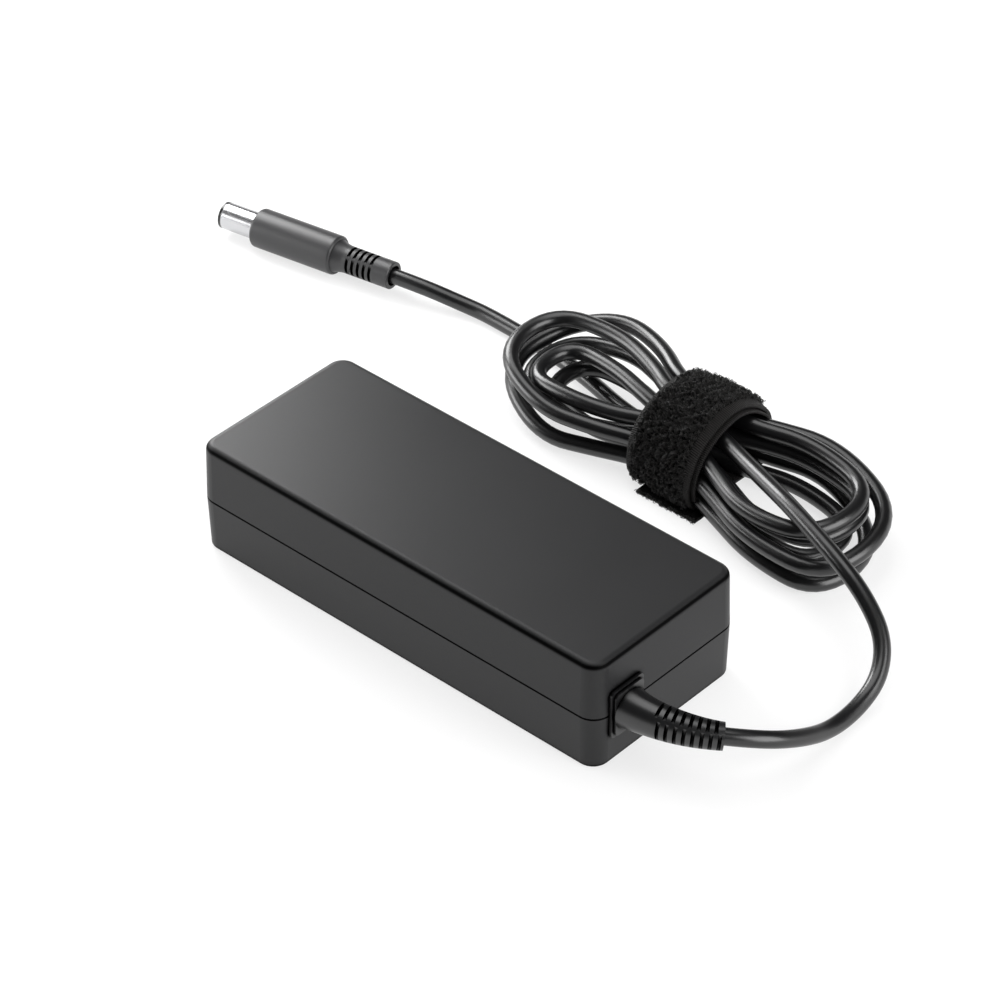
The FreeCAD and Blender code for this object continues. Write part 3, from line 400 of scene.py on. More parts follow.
class ADAPTER_OT_stage(bpy.types.Operator):
    """Sets the camera, the softboxes, the room light and the pale floor"""
    bl_idname = "adapter.stage"
    bl_label = "Stage"

    def execute(self, context):
        scene = context.scene
        settings = scene.adapter_stage
        scene.view_settings.view_transform = "Standard"
        scene.camera = self.place_camera(settings)
        for name, place, target, width, height, power in SOFTBOXES:
            lamp = bpy.data.lights.new(name, "AREA")
            lamp.shape = "RECTANGLE"
            lamp.size = width * MM
            lamp.size_y = height * MM
            lamp.energy = power
            softbox = add_object(name, lamp)
            softbox.matrix_world = aimed(place, target)
            softbox.visible_camera = False
        scene.world = self.light_room(settings)
        self.lay_floor(settings)
        return {"FINISHED"}

    def place_camera(self, settings):
        yaw, dip, roll = (math.radians(angle) for angle in (CAMERA_YAW, CAMERA_DIP, CAMERA_ROLL))
        ahead = Vector((math.sin(yaw) * math.cos(dip), math.cos(yaw) * math.cos(dip), -math.sin(dip)))
        level = Vector((math.cos(yaw), -math.sin(yaw), 0))
        above = level.cross(ahead)
        right = level * math.cos(roll) + above * math.sin(roll)
        up = above * math.cos(roll) - level * math.sin(roll)
        lens = bpy.data.cameras.new("photo_camera")
        lens.lens = settings.lens
        lens.sensor_width = 36.0
        lens.clip_end = 20.0
        camera = add_object("photo_camera", lens)
        turn = Matrix((right, up, -ahead)).transposed()
        camera.matrix_world = Matrix.LocRotScale(Vector(CAMERA_PLACE) * MM, turn.to_quaternion(), None)
        return camera

    def light_room(self, settings):
        world = bpy.data.worlds.new("plain_room")
        world.use_nodes = True
        tree = world.node_tree
        tree.nodes.clear()
        direction = add_node(tree, "ShaderNodeTexCoord")
        height = add_node(tree, "ShaderNodeSeparateXYZ", None, {0: (direction, "Generated")})
        ceiling, _ = map_range(tree, (height, "Z"), CEILING_SPAN, 1.0, settings.ceiling)
        ceiling.interpolation_type = "SMOOTHSTEP"
        even = add_node(tree, "ShaderNodeBackground", {"Color": WHITE, "Strength": settings.room_light})
        white = add_node(tree, "ShaderNodeBackground", {"Color": WHITE}, {"Strength": (ceiling, 0)})
        mixed = add_node(tree, "ShaderNodeMixShader", None,
                         {0: eye_rays(tree), 1: (even, "Background"), 2: (white, "Background")})
        add_node(tree, "ShaderNodeOutputWorld", None, {"Surface": (mixed, 0)})
        return world

    def lay_floor(self, settings):
        material, tree = new_material("pale_paper_floor")
        matte = add_node(tree, "ShaderNodeBsdfDiffuse", {"Color": rgba(settings.floor)})
        white = add_node(tree, "ShaderNodeEmission", {"Color": WHITE, "Strength": 1.0})
        mixed = add_node(tree, "ShaderNodeMixShader", None,
                         {0: compute(tree, "MULTIPLY", eye_rays(tree), FLOOR_WHITE),
                          1: (matte, "BSDF"), 2: (white, "Emission")})
        add_node(tree, "ShaderNodeOutputMaterial", None, {"Surface": (mixed, 0)})
        corners = [(x * FLOOR_REACH, y * FLOOR_REACH, -FLOOR_DROP)
                   for x, y in ((-1, -1), (1, -1), (1, 1), (-1, 1))]
        mesh_object("floor", corners, [(0, 1, 2, 3)], [material], smooth=False)


# Carried-over solids

def dress(nodes, material):
    """Gives carried-over solids their finish."""
    for name in nodes:
        mesh = frame["nodes"][name].data
        mesh.materials.clear()
        mesh.materials.append(material)


def nodes_of(slot):
    return [piece["node"] for piece in frame["record"]["subparts"] if piece["material_slot"] == slot]


class ADAPTER_OT_shells(bpy.types.Operator):
    """Finishes the two moulded shells of the housing"""
    bl_idname = "adapter.shells"
    bl_label = "Housing shells"

    def execute(self, context):
        dress(("top_cover", "bottom_case"), housing_plastic(context.scene.adapter_shells))
        return {"FINISHED"}


class ADAPTER_OT_inside(bpy.types.Operator):
    """Finishes the inlet, the board and every piece that stands on it"""
    bl_idname = "adapter.inside"
    bl_label = "Inlet and board"

    def execute(self, context):
        for slot in INNER_FINISHES:
            dress(nodes_of(slot), inner_finish(slot))
        return {"FINISHED"}


class ADAPTER_OT_boot(bpy.types.Operator):
    """Finishes the strain relief at the housing"""
    bl_idname = "adapter.boot"
    bl_label = "Strain relief"

    def execute(self, context):
        dress(("strain_relief",), boot_vinyl())
        return {"FINISHED"}


class ADAPTER_OT_plug(bpy.types.Operator):
    """Finishes the barrel plug's grip and contacts"""
    bl_idname = "adapter.plug"
    bl_label = "Barrel plug"

    def execute(self, context):
        dress(("plug_grip",), grip_vinyl())
        dress(("plug_barrel", "plug_inner_contact", "plug_centre_pin"), nickel_plate())
        return {"FINISHED"}


# Cord: the same route as the solid's, from the strain relief through the hank to the plug

# Places of the hank's five turns: x and y from its centre and height above the lowest strand, in millimetres
# as drawn for the pitch below, then the slant of the cord's heading in degrees and its rise. A loop's places
# are its two sides and its end, in the order in which the cord passes them.
HANK_X = 3.0
HANK_Y = 77.0
HANK_PITCH = 4.7
BACK_RUNS = (
    (0, 2.7, 1.9, 6, 0),
    (0, 8.2, 3.5, 8, 0),
    (0, 7.3, 14.6, -6, -0.03),
    (0, -0.3, 10.7, 20, -0.25),
    (0, 8.4, 9.9, 8, 0),
)
FRONT_RUNS = (
    (0, -2.9, 2.1, 0, 0),
    (0, -9.4, 1.9, 0, 0),
    (0, -6.5, 12.5, 0, 0),
    (0, -3.6, 7.1, 0, 0),
    (0, -10, 8.1, 0, 0),
)
RIGHT_LOOPS = (
    ((21, 6, 1.7, 16, 0), (50.6, -4.1, 0, 0, 0), (25.2, -10.2, 1.3, -24, 0)),
    ((21, 12, 2.7, 16, 0), (59, -9.6, 0, 0, 0), (28.8, -16.7, 1.3, -20, 0.03)),
    ((21, 7.2, 14.3, 17, 0), (56, -6.7, 13.8, 0, 0), (25, -13.8, 10.9, -26, 0)),
    ((21, 8.2, 9.1, 15, 0), (54.5, -4, 8.5, 0, 0), (25.1, -10.1, 6.3, -24, 0)),
    ((21, 13.6, 10.7, 16, 0), (63, -9, 8.4, 0, -0.08), (26, -15.7, 6.2, -24, 0)),
)
LEFT_LOOPS = (
    ((-16.8, -6.4, 1.5, 14, 0), (-39.4, 0.7, 5.3, 0, 0), (-17, 7, 5.7, -16, 0)),
    ((-21.5, -14.8, 1.3, 18, -0.03), (-52.5, 2.7, 7.4, 0, 0.08), (-29, 18.6, 13.9, -13, 0.06)),
    ((-19, -11.1, 11.9, 10, 0), (-42, -3.2, 10.9, 0, 0.03), (-17, 1.3, 12.7, -16, 0)),
    ((-19.8, -11.4, 5.9, 16, 0), (-47.8, 2.5, 6.1, 0, 0.03), (-20, 12.4, 9.5, -17, 0)),
    ((-21.9, -15.8, 9, 10, 0), (-51.5, -0.6, 14.1, 0, 0.06), (-21, 8.6, 16.2, -17, 0)),
)
# Ends of the hank as places and headings: the one towards the plug, and the run that crosses over the
# right loops towards the housing
PLUG_RUN = ((-64, 89.1, 2.1), (1, -0.06, 0))
CROSSING_RUN = (
    ((2, 77.8, 17.6), (1, -0.2, -0.08)),
    ((32, 68.6, 17.6), (1, -0.42, 0.12)),
    ((58, 57.8, 19.8), (1, -0.36, -0.06)),
)
# Points of the free stretches from the hank, to the strain relief and to the plug, and how far the first
# and the last of a stretch's points lie from its ends, at the hank and at the fitting
ADAPTER_ROUTE = (
    (80.6, 51.0, 14.7),
    (88.8, 47.6, 9.4),
    (93.4, 40.8, 4.6),
    (94.8, 31.5, 2.1),
    (95.2, 20.5, 2.4),
    (95.4, 9.4, 7.2),
)
PLUG_ROUTE = ((-82, 88.2, 2.7),)
ADAPTER_END_RUNS = (9.5, 8.6)
PLUG_END_RUNS = (9.0, 11.0)

# Strain relief: the middle of its face, and the radius, the turn and the droop of its bend
RELIEF_FACE = (65.0, -15.0, 14.7)
BOOT_BEND_RADIUS = 33.0
BOOT_BEND = 40.0
BOOT_DROOP = 9.6

# Plug: its tip, the turn of its axis, its length and the depth of the hole in which the cord ends
PLUG_TIP = (-154.7, 73.5, 5.375)
PLUG_TURN = 9.8
PLUG_LENGTH = 54.2
PLUG_HOLE_DEPTH = 1.2


def strand_key(cord, place, ahead):
    """Place and heading of the hank's cord from a row of the tables; ahead is the heading without slant."""
    x, y, lift, slant, rise = place
    scale = (cord.diameter + cord.turn_gap) / MM / HANK_PITCH
    position = Vector((HANK_X + x * scale, HANK_Y + y * scale, cord.diameter / MM / 2 + lift * scale))
    across = Vector((-ahead.y, ahead.x, 0))
    heading = ahead + across * math.tan(math.radians(slant)) + Vector((0, 0, rise))
    return position, heading.normalized()


def run_key(run):
    place, heading = run
    return Vector(place), Vector(heading).normalized()


def hank_keys(cord):
    """Places and headings along the hank, from the plug's side to the adapter's side."""
    ahead, up = Vector((1, 0, 0)), Vector((0, 1, 0))
    start, heading = run_key(PLUG_RUN)
    keys = [(start + heading * (cord.diameter / MM), heading)]
    for back, right, front, left in zip(BACK_RUNS, RIGHT_LOOPS, FRONT_RUNS, LEFT_LOOPS):
        keys.append(strand_key(cord, back, ahead))
        keys += [strand_key(cord, *pair) for pair in zip(right, (ahead, -up, -ahead))]
        keys.append(strand_key(cord, front, -ahead))
        keys += [strand_key(cord, *pair) for pair in zip(left, (-ahead, up, ahead))]
    return keys + [run_key(run) for run in CROSSING_RUN]


def handles(first, second):
    """The two control points between one place and heading and the next: equal reaches from both."""
    start, out = first
    end, into = second
    chord = end - start
    both = out + into
    spread = 2 * (1 - out.dot(into))
    if spread < TINY:
        reach = chord.dot(chord) / (4 * chord.dot(into))
    else:
        reach = (math.sqrt(chord.dot(both) ** 2 + spread * chord.dot(chord)) - chord.dot(both)) / spread
    return [start + out * reach, end - into * reach]


def boot_end():
    """Place where the cord leaves the strain relief, and its heading out of it."""
    turn = math.radians(BOOT_BEND)
    droop = math.radians(BOOT_DROOP)
    side = Vector((0, math.cos(droop), -math.sin(droop)))
    ahead = Vector((1, 0, 0))
    place = Vector(RELIEF_FACE) + ahead * (BOOT_BEND_RADIUS * math.sin(turn)) \
        + side * (BOOT_BEND_RADIUS * (1 - math.cos(turn)))
    return place, ahead * math.cos(turn) + side * math.sin(turn)


def plug_seat():
    """Place where the cord meets the plug, and its heading out of it."""
    turn = math.radians(PLUG_TURN)
    heading = Vector((math.cos(turn), math.sin(turn), 0))
    return Vector(PLUG_TIP) + heading * (PLUG_LENGTH - PLUG_HOLE_DEPTH), heading


def cord_points(cord):
    """Control points of the whole cord in millimetres, from the strain relief to the plug."""
    keys = hank_keys(cord)
    boot, out = boot_end()
    last, heading = keys[-1]
    hank_end = last + heading * (cord.diameter / MM)
    points = [boot, boot + out * ADAPTER_END_RUNS[1]]
    points += [Vector(point) for point in reversed(ADAPTER_ROUTE)]
    points.append(hank_end + heading * ADAPTER_END_RUNS[0])
    hank = []
    for first, second in zip(keys, keys[1:]):
        hank += handles(first, second)
    points += reversed(hank)
    start, inward = run_key(PLUG_RUN)
    points.append(start - inward * PLUG_END_RUNS[0])
    points += [Vector(point) for point in PLUG_ROUTE]
    seat, back = plug_seat()
    points += [seat + back * PLUG_END_RUNS[1], seat]
    return points


def spline_object(name, points, radius):
    """Round tube on one smooth open spline through millimetre control points."""
    curve = bpy.data.curves.new(name, "CURVE")
    curve.dimensions = "3D"
    curve.bevel_depth = radius * MM
    curve.bevel_resolution = 8
    curve.resolution_u = 8
    curve.use_fill_caps = True
    spline = curve.splines.new("NURBS")
    spline.points.add(len(points) - 1)
    for target, point in zip(spline.points, points):
        target.co = (*(point * MM), 1.0)
    spline.order_u = 3
    spline.use_endpoint_u = True
    spline.use_smooth = True
    return add_object(name, curve)


def line_length(tube):
    """Length of a spline object's own line in metres."""
    bare = tube.data.copy()
    bare.bevel_depth = 0
    probe = bpy.data.objects.new("probe", bare)
    mesh = bpy.data.meshes.new_from_object(probe)
    places = np.empty(len(mesh.vertices) * 3)
    mesh.vertices.foreach_get("co", places)
    places = places.reshape(-1, 3)
    bpy.data.objects.remove(probe)
    bpy.data.curves.remove(bare)
    bpy.data.meshes.remove(mesh)
    return float(np.linalg.norm(np.diff(places, axis=0), axis=1).sum())


class ADAPTER_OT_cord(bpy.types.Operator):
    """Lays the cord from the strain relief through the tied hank to the plug"""
    bl_idname = "adapter.cord"
    bl_label = "Cord"

    def execute(self, context):
        settings = context.scene.adapter_cord
        cord = spline_object("dc_cord", cord_points(settings), settings.diameter / MM / 2)
        cord.data.materials.append(cord_vinyl(settings))
        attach(cord, ROOT)
        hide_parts("cord_adapter_side", "cord_hank", "cord_plug_side")
        line_length(cord)
        return {"FINISHED"}


# Strap, in millimetres: its outside outlines across X, as (y, z) from the front foot over the top to the
# back and under it. It widens towards the right and droops at both rims. The first outline lies beyond the
# left rim.
STRAP_OUTLINES = (
    (-4.5, ((67.0, 0.1), (64.2, 1.0), (62.3, 4.3), (62.2, 8.6), (63.2, 12.7), (65.7, 16.3), (69.6, 18.9),
            (74.6, 20.7), (79.8, 21.4), (84.8, 20.9), (88.7, 18.3), (90.3, 14.0), (90.2, 8.5), (89.2, 2.8),
            (86.0, 0.1), (76.5, 0.05))),
    (1.0, ((66.8, 0.1), (63.8, 1.0), (62.2, 4.5), (62.3, 9.2), (63.4, 13.8), (66.3, 17.8), (70.4, 20.6),
           (75.4, 22.3), (80.4, 22.7), (85.4, 21.8), (89.2, 18.8), (90.9, 14.0), (90.8, 8.5), (89.6, 2.8),
           (86.3, 0.1), (76.5, 0.05))),
    (7.0, ((66.4, 0.1), (63.3, 1.0), (61.6, 4.5), (61.7, 9.4), (63.0, 14.2), (66.0, 18.4), (70.2, 21.3),
           (75.2, 23.1), (80.4, 23.5), (85.6, 22.3), (89.8, 19.0), (91.8, 14.0), (91.8, 8.3), (90.5, 2.8),
           (87.0, 0.1), (76.5, 0.05))),
    (13.0, ((66.0, 0.1), (62.9, 1.0), (61.0, 4.5), (60.9, 9.2), (62.4, 14.2), (65.3, 18.4), (69.4, 21.4),
            (74.4, 23.3), (79.6, 23.6), (85.0, 22.3), (89.8, 19.2), (92.8, 14.3), (93.0, 8.3), (91.7, 2.8),
            (88.2, 0.1), (76.5, 0.05))),
    (18.0, ((66.5, 0.1), (63.2, 1.0), (61.2, 4.5), (60.9, 8.8), (62.1, 13.2), (64.7, 17.2), (68.6, 20.2),
            (73.4, 22.2), (78.4, 23.0), (83.6, 21.9), (88.4, 19.0), (92.2, 14.8), (93.4, 9.0), (92.4, 3.0),
            (89.0, 0.1), (76.5, 0.05))),
)
STRAP_COLUMNS = 260
STRAP_ROWS = 46
STRAP_LEFT = -2.8
STRAP_RIGHT = 18.0
# Points that each span of an outline is drawn with before it is divided evenly
OUTLINE_STEPS = 24
# Rounded rim: how far it stands out in millimetres, and where through the band's thickness
RIM_TURN = ((0.10, 0.12), (0.17, 0.5), (0.10, 0.88))
# Inner turn, which shows at the right: its left and right rim, and its thickness as a share of the strap's
INNER_TURN_STARTS = 11.0
INNER_TURN_RIM = 19.1
INNER_TURN_ROWS = 14
INNER_TURN_THINNED = 0.8
FLOOR_GAP = 0.03

# Bare edge beside the pile: between the two heights its share of the selvedge's full width grows
BARE_EDGE_HEIGHTS = (3.0, 20.0)
BARE_EDGE_SHARES = (0.4, 1.0)
# Lowest root of a loop, and rows of outlines between which the roots are placed
PILE_STARTS = 0.9
PILE_ROWS = 40

# Loops: places along one and sides of its yarn, then spans of the random draws, in millimetres between the
# feet and as shares of the pile's height and of the yarn's thickness, then the deviations of the curl in
# millimetres and of the tilt as a share of the height, the power of the sine by which a loop rises, and how
# deep its feet are set
LOOP_STEPS = 7
YARN_SIDES = 3
LOOP_FEET = (0.4, 1.5)
LOOP_HEIGHTS = (0.55, 1.2)
YARN_THICKNESSES = (0.75, 1.25)
LOOP_CURL = 0.3
LOOP_TILT = 0.3
LOOP_FULLNESS = 0.8
LOOP_ROOT = 0.12
# Tufts: a loop's height falls by the distance from the tuft's middle over the reach, within the two limits
TUFT_TOP = 1.25
TUFT_REACH = 1.4
TUFT_HEIGHTS = (0.3, 1.15)
TUFT_PULL = 0.55
# Loops that look for their nearest tuft at a time, which bounds the memory this takes
TUFT_BATCH = 500

# Tab on the floor: its extent, its grid, the threads and the depth of fray at its front and at its sides,
# which start at that share of the way from the middle, its waves by height, as a share of the thickness, and
# radians along and across, the cut edge's height, also as a share, and the roughness of its top
TAB_X = (2.0, 21.2)
TAB_Y = (60.2, 68.0)
TAB_GRID = (84, 14)
TAB_FRONT = (42, 0.3)
TAB_SIDES = (7, 0.4)
TAB_SIDE_STARTS = 0.9
TAB_WAVES = (0.1, 40, 9)
TAB_CUT_HEIGHT = 0.55
TAB_ROUGHNESS = 0.06
# Loose yarn at the tab's front edge: how many loops, how they scatter round it and where they point
FRINGE_LOOPS = 160
FRINGE_SCATTER = 0.12
FRINGE_SPREAD = (1, 1, 0.3)
FRINGE_OUTWARD = (0.0, -0.5, 0.85)
FRINGE_ALONG = (1.0, 0.0, 0.0)


def closed_line(points, count):
    """Evenly spaced places along a smooth closed line through the points."""
    points = np.array(points, float)
    before, after, beyond = (np.roll(points, shift, axis=0) for shift in (1, -1, -2))
    share = np.linspace(0, 1, OUTLINE_STEPS, endpoint=False)[:, None, None]
    line = 0.5 * (2 * points + (after - before) * share
                  + (2 * before - 5 * points + 4 * after - beyond) * share ** 2
                  + (3 * points - before - 3 * after + beyond) * share ** 3)
    line = line.transpose(1, 0, 2).reshape(-1, 2)
    line = np.vstack([line, line[:1]])
    reach = np.concatenate([[0], np.cumsum(np.linalg.norm(np.diff(line, axis=0), axis=1))])
    even = np.linspace(0, reach[-1], count, endpoint=False)
    return np.stack([np.interp(even, reach, line[:, axis]) for axis in (0, 1)], axis=1)


class StrapSurface:
    """Outside of the strap in millimetres: a place for every column round it and every x across it."""

    def __init__(self, columns):
        stations = np.array([x for x, _ in STRAP_OUTLINES])
        lines = np.array([closed_line(outline, columns) for _, outline in STRAP_OUTLINES])
        self.columns = columns
        powers = np.vander(stations, len(stations), increasing=True)
        self.weights = np.linalg.solve(powers, lines.reshape(len(stations), -1))
        middle = lines[len(lines) // 2]
        self.girth = float(np.linalg.norm(np.diff(middle, axis=0), axis=1).sum())

    def row(self, x):
        """Outline at x and its outward normals in the plane across X."""
        inside = min(max(x, STRAP_LEFT), STRAP_RIGHT)
        line = (np.vander([inside], len(self.weights), increasing=True) @ self.weights)[0].reshape(-1, 2)
        along = np.roll(line, -1, axis=0) - np.roll(line, 1, axis=0)
        along /= np.linalg.norm(along, axis=1)[:, None]
        return line, np.stack([-along[:, 1], along[:, 0]], axis=1)

    def ring(self, x, depth):
        """Ring of places at x, sunk by depth below the outside."""
        line, outward = self.row(x)
        sunk = line - outward * depth
        sunk[:, 1] = np.maximum(sunk[:, 1], FLOOR_GAP)
        return np.column_stack([np.full(len(line), x), sunk])


def strap_mesh(name, surface, profile, materials, pick):
    """Closed band swept round the strap from a closed profile of (x, depth); pick gives a face's material."""
    rings = [surface.ring(x, depth) for x, depth in profile]
    count, columns = len(rings), surface.columns
    reach = surface.girth / columns
    faces, slots, coordinates = [], [], []
    for row in range(count):
        after_row = (row + 1) % count
        x0, x1 = profile[row][0], profile[after_row][0]
        for column in range(columns):
            after = (column + 1) % columns
            faces.append((row * columns + column, after_row * columns + column,
                          after_row * columns + after, row * columns + after))
            slots.append(pick((x0 + x1) / 2, rings[row][column][2]))
            coordinates += [(column * reach, x0), (column * reach, x1),
                            ((column + 1) * reach, x1), ((column + 1) * reach, x0)]
    piece = mesh_object(name, np.concatenate(rings), faces, materials)
    layer = piece.data.uv_layers.new(name=STRAP_UV)
    layer.data.foreach_set("uv", np.array(coordinates, float).ravel())
    piece.data.polygons.foreach_set("material_index", slots)
    piece.data.update()
    return piece


def rim_profile(left, right, depth, thickness, rows):
    """Closed profile of a band from left to right, its outside sunk by depth, with rounded rims."""
    outside = [(x, depth) for x in np.linspace(left, right, rows)]
    inside = [(x, depth + thickness) for x in np.linspace(right, left, rows // 2)]
    right_rim = [(right + out, depth + share * thickness) for out, share in RIM_TURN]
    left_rim = [(left - out, depth + share * thickness) for out, share in reversed(RIM_TURN)]
    return outside + right_rim + inside + left_rim


def pile_mesh(name, roots, outward, along, settings, generator, material):
    """Thin curled yarn loops that stand on the roots, as three-sided tubes in one mesh.

    They are matted into tufts: each leans towards its tuft's middle and is taller the nearer it stands.
    """
    count = len(roots)
    share = np.linspace(0, 1, LOOP_STEPS)[None, :, None]
    turn = generator.uniform(0, math.tau, count)
    across = np.cross(outward, along)
    lean = along * np.cos(turn)[:, None] + across * np.sin(turn)[:, None]
    side = np.cross(outward, lean)
    tufts = roots[generator.choice(count, max(1, count // settings.tuft), replace=False)]
    nearest = np.concatenate([np.argmin(((part[:, None] - tufts[None]) ** 2).sum(axis=2), axis=1)
                              for part in np.array_split(roots, max(1, count // TUFT_BATCH))])
    pull = tufts[nearest] - roots
    near = np.clip(TUFT_TOP - np.linalg.norm(pull, axis=1) / TUFT_REACH, *TUFT_HEIGHTS)
    height = settings.pile / MM * near * generator.uniform(*LOOP_HEIGHTS, count)
    feet = generator.uniform(*LOOP_FEET, count)
    curl = generator.normal(0, LOOP_CURL, count)
    tilt = generator.normal(0, LOOP_TILT, count)
    height, feet, curl, tilt = (values[:, None, None] for values in (height, feet, curl, tilt))
    lift = np.sin(math.pi * share) ** LOOP_FULLNESS
    line = roots[:, None, :] + lean[:, None, :] * (feet * (share - 0.5)) \
        + outward[:, None, :] * (height * lift - LOOP_ROOT) \
        + pull[:, None, :] * (TUFT_PULL * lift) \
        + side[:, None, :] * (curl * np.sin(math.tau * share) + tilt * height * lift)
    heading = np.gradient(line, axis=1)
    heading /= np.linalg.norm(heading, axis=2)[:, :, None]
    first = np.cross(heading, side[:, None, :])
    first /= np.linalg.norm(first, axis=2)[:, :, None] + TINY
    second = np.cross(heading, first)
    radius = settings.yarn / MM / 2 * generator.uniform(*YARN_THICKNESSES, count)[:, None, None, None]
    angles = (np.arange(YARN_SIDES) * math.tau / YARN_SIDES)[None, None, :, None]
    rings = line[:, :, None, :] + radius * (first[:, :, None, :] * np.cos(angles)
                                            + second[:, :, None, :] * np.sin(angles))
    rings[..., 2] = np.maximum(rings[..., 2], FLOOR_GAP)
    base = (np.arange(count) * LOOP_STEPS * YARN_SIDES)[:, None, None]
    row = base + (np.arange(LOOP_STEPS - 1) * YARN_SIDES)[None, :, None]
    corner = np.arange(YARN_SIDES)[None, None, :]
    after = (corner + 1) % YARN_SIDES
    faces = np.stack([row + corner, row + after, row + YARN_SIDES + after, row + YARN_SIDES + corner],
                     axis=-1).reshape(-1, 4)
    return mesh_object(name, rings.reshape(-1, 3), faces.tolist(), [material])


def pile_rim(height, settings):
    """Where the pile ends across the strap: the bare edge is wide on top and narrow near the floor."""
    bare = settings.selvedge / MM * np.interp(height, BARE_EDGE_HEIGHTS, BARE_EDGE_SHARES)
    return STRAP_RIGHT - bare


def pile_roots(surface, settings, generator):
    """Random roots of the loops over the strap's outside, with the outward and the wrapping direction."""
    left = STRAP_LEFT + settings.left_edge / MM
    x = generator.uniform(left, STRAP_RIGHT, settings.loops)
    column = generator.uniform(0, surface.columns, settings.loops)
    lines, outwards = zip(*(surface.row(value) for value in np.linspace(left, STRAP_RIGHT, PILE_ROWS)))
    # Each root lies between two rows and two columns of the outlines; the last row has none beyond it
    row = (x - left) / (STRAP_RIGHT - left) * (PILE_ROWS - 1)
    row = np.clip(row, 0, PILE_ROWS - 1.001)
    low, part = row.astype(int), (row % 1)[:, None]
    here = column.astype(int) % surface.columns
    after, over = (here + 1) % surface.columns, (column % 1)[:, None]

    def blend(grid):
        near = grid[low, here] * (1 - over) + grid[low, after] * over
        far = grid[low + 1, here] * (1 - over) + grid[low + 1, after] * over
        return near * (1 - part) + far * part

    roots = np.column_stack([x, blend(np.array(lines))])
    outward = np.column_stack([np.zeros(len(x)), blend(np.array(outwards))])
    outward /= np.linalg.norm(outward, axis=1)[:, None]
    along = np.cross(outward, (1.0, 0.0, 0.0))
    shown = (roots[:, 2] > PILE_STARTS) & (x < pile_rim(roots[:, 2], settings))
    return roots[shown], outward[shown], along[shown]


def ragged_edge(count, threads, depth, generator):
    """How far a cut edge is frayed back at evenly spaced places, drawn at random at each of its threads."""
    return np.interp(np.linspace(0, 1, count), np.linspace(0, 1, threads),
                     generator.uniform(0, depth, threads))


def ragged_tab(settings, generator, material):
    """End of the strap that lies flat on the floor in front, and the middle line of its frayed front edge."""
    columns, rows = TAB_GRID
    size = columns * rows
    u, v = np.meshgrid(np.linspace(0, 1, columns), np.linspace(0, 1, rows), indexing="ij")
    front_fray = ragged_edge(columns, *TAB_FRONT, generator)[:, None]
    side_fray = ragged_edge(rows, *TAB_SIDES, generator)[None, :]
    x = TAB_X[0] + (TAB_X[1] - TAB_X[0]) * u
    x = x + side_fray * (1 - 2 * u) * (np.abs(1 - 2 * u) > TAB_SIDE_STARTS)
    y = TAB_Y[0] + (TAB_Y[1] - TAB_Y[0]) * v + front_fray * (1 - v)
    waves, along, across = TAB_WAVES
    thickness = settings.thickness / MM
    top = thickness * (1 - waves + waves * np.sin(u * along) * np.cos(v * across))
    top = top * np.where(v == 0, TAB_CUT_HEIGHT, 1)
    top = top + generator.uniform(-TAB_ROUGHNESS, TAB_ROUGHNESS, u.shape)
    places = [np.stack([x, y, z], axis=-1).reshape(-1, 3) for z in (top, np.full_like(x, FLOOR_GAP))]
    grid = np.arange(size).reshape(columns, rows)
    upper = np.stack([grid[:-1, :-1], grid[1:, :-1], grid[1:, 1:], grid[:-1, 1:]], axis=-1)
    lower = size + upper[..., ::-1]
    faces = np.stack([upper, lower], axis=2).reshape(-1, 4).tolist()
    edge = np.concatenate([grid[:, 0], grid[-1, 1:], grid[-2::-1, -1], grid[0, -2:0:-1]]).tolist()
    faces += [(after, here, size + here, size + after) for here, after in zip(edge, edge[1:] + edge[:1])]
    tab = mesh_object("strap_tab", np.vstack(places), faces, [material], smooth=False)
    return tab, np.column_stack([x[:, 0], y[:, 0], np.full(columns, thickness / 2)])


def tab_fringe(front, settings, generator, material):
    """Loose yarn that stands out of the tab's front edge."""
    picks = generator.integers(0, len(front), FRINGE_LOOPS)
    roots = front[picks] + generator.normal(0, FRINGE_SCATTER, (FRINGE_LOOPS, 3)) * FRINGE_SPREAD
    outward, along = (np.tile(direction, (FRINGE_LOOPS, 1)) for direction in (FRINGE_OUTWARD, FRINGE_ALONG))
    return pile_mesh("strap_tab_fringe", roots, outward, along, settings, generator, material)


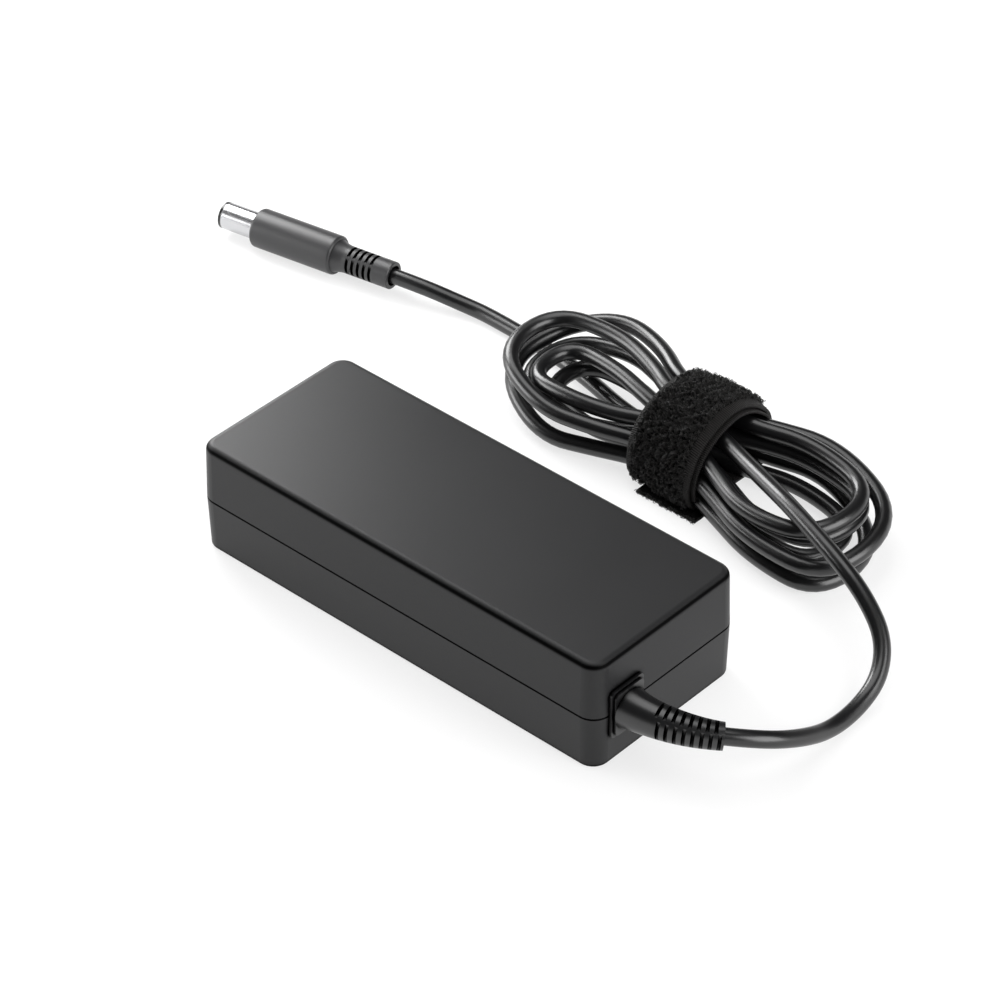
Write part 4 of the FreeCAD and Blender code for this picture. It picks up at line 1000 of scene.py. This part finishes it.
class ADAPTER_OT_strap(bpy.types.Operator):
    """Wraps the hook-and-loop strap round the hank, with its woven edges, its pile and its frayed end"""
    bl_idname = "adapter.strap"
    bl_label = "Strap"

    def execute(self, context):
        settings = context.scene.adapter_strap
        generator = np.random.default_rng(settings.seed)
        surface = StrapSurface(STRAP_COLUMNS)
        thickness = settings.thickness / MM
        ground, weave, yarn = strap_backing(), selvedge_weave(settings), pile_nylon()
        pile_left = STRAP_LEFT + settings.left_edge / MM
        outer = strap_mesh("strap_band", surface,
                           rim_profile(STRAP_LEFT, STRAP_RIGHT, 0, thickness, STRAP_ROWS), (ground, weave),
                           lambda x, height: int(not pile_left < x < pile_rim(height, settings)))
        inner = strap_mesh("strap_inner_turn", surface,
                           rim_profile(INNER_TURN_STARTS, INNER_TURN_RIM, thickness + settings.turn_gap / MM,
                                       thickness * INNER_TURN_THINNED, INNER_TURN_ROWS),
                           (weave,), lambda x, height: 0)
        pile = pile_mesh("strap_pile", *pile_roots(surface, settings, generator), settings, generator, yarn)
        tab, front = ragged_tab(settings, generator, ground)
        fringe = tab_fringe(front, settings, generator, yarn)
        for piece in (outer, inner, pile, tab, fringe):
            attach(piece, ROOT)
        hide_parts("cable_strap")
        return {"FINISHED"}


# Settings, panel and registration

class ADAPTER_PT_panel(bpy.types.Panel):
    """Lists the adapter's pieces"""
    bl_idname = "ADAPTER_PT_panel"
    bl_label = "Power adapter"
    bl_space_type = "VIEW_3D"
    bl_region_type = "UI"
    bl_category = "Adapter"

    def draw(self, context):
        for operator in OPERATORS:
            self.layout.operator(operator.bl_idname)


OPERATORS = (
    ADAPTER_OT_stage,
    ADAPTER_OT_shells,
    ADAPTER_OT_inside,
    ADAPTER_OT_boot,
    ADAPTER_OT_plug,
    ADAPTER_OT_cord,
    ADAPTER_OT_strap,
)
SETTINGS = {
    "adapter_shells": AdapterShells,
    "adapter_cord": AdapterCord,
    "adapter_strap": AdapterStrap,
    "adapter_stage": AdapterStage,
}


def register():
    for kind in (*SETTINGS.values(), *OPERATORS, ADAPTER_PT_panel):
        bpy.utils.register_class(kind)
    for name, kind in SETTINGS.items():
        setattr(bpy.types.Scene, name, bpy.props.PointerProperty(type=kind))


def unregister():
    for name in SETTINGS:
        delattr(bpy.types.Scene, name)
    for kind in (ADAPTER_PT_panel, *reversed(OPERATORS), *reversed(SETTINGS.values())):
        bpy.utils.unregister_class(kind)


def main():
    register()
    bpy.ops.adapter.stage()
    bpy.ops.adapter.shells()
    bpy.ops.adapter.inside()
    bpy.ops.adapter.boot()
    bpy.ops.adapter.plug()
    bpy.ops.adapter.cord()
    bpy.ops.adapter.strap()


if __name__ == "__main__":
    main()
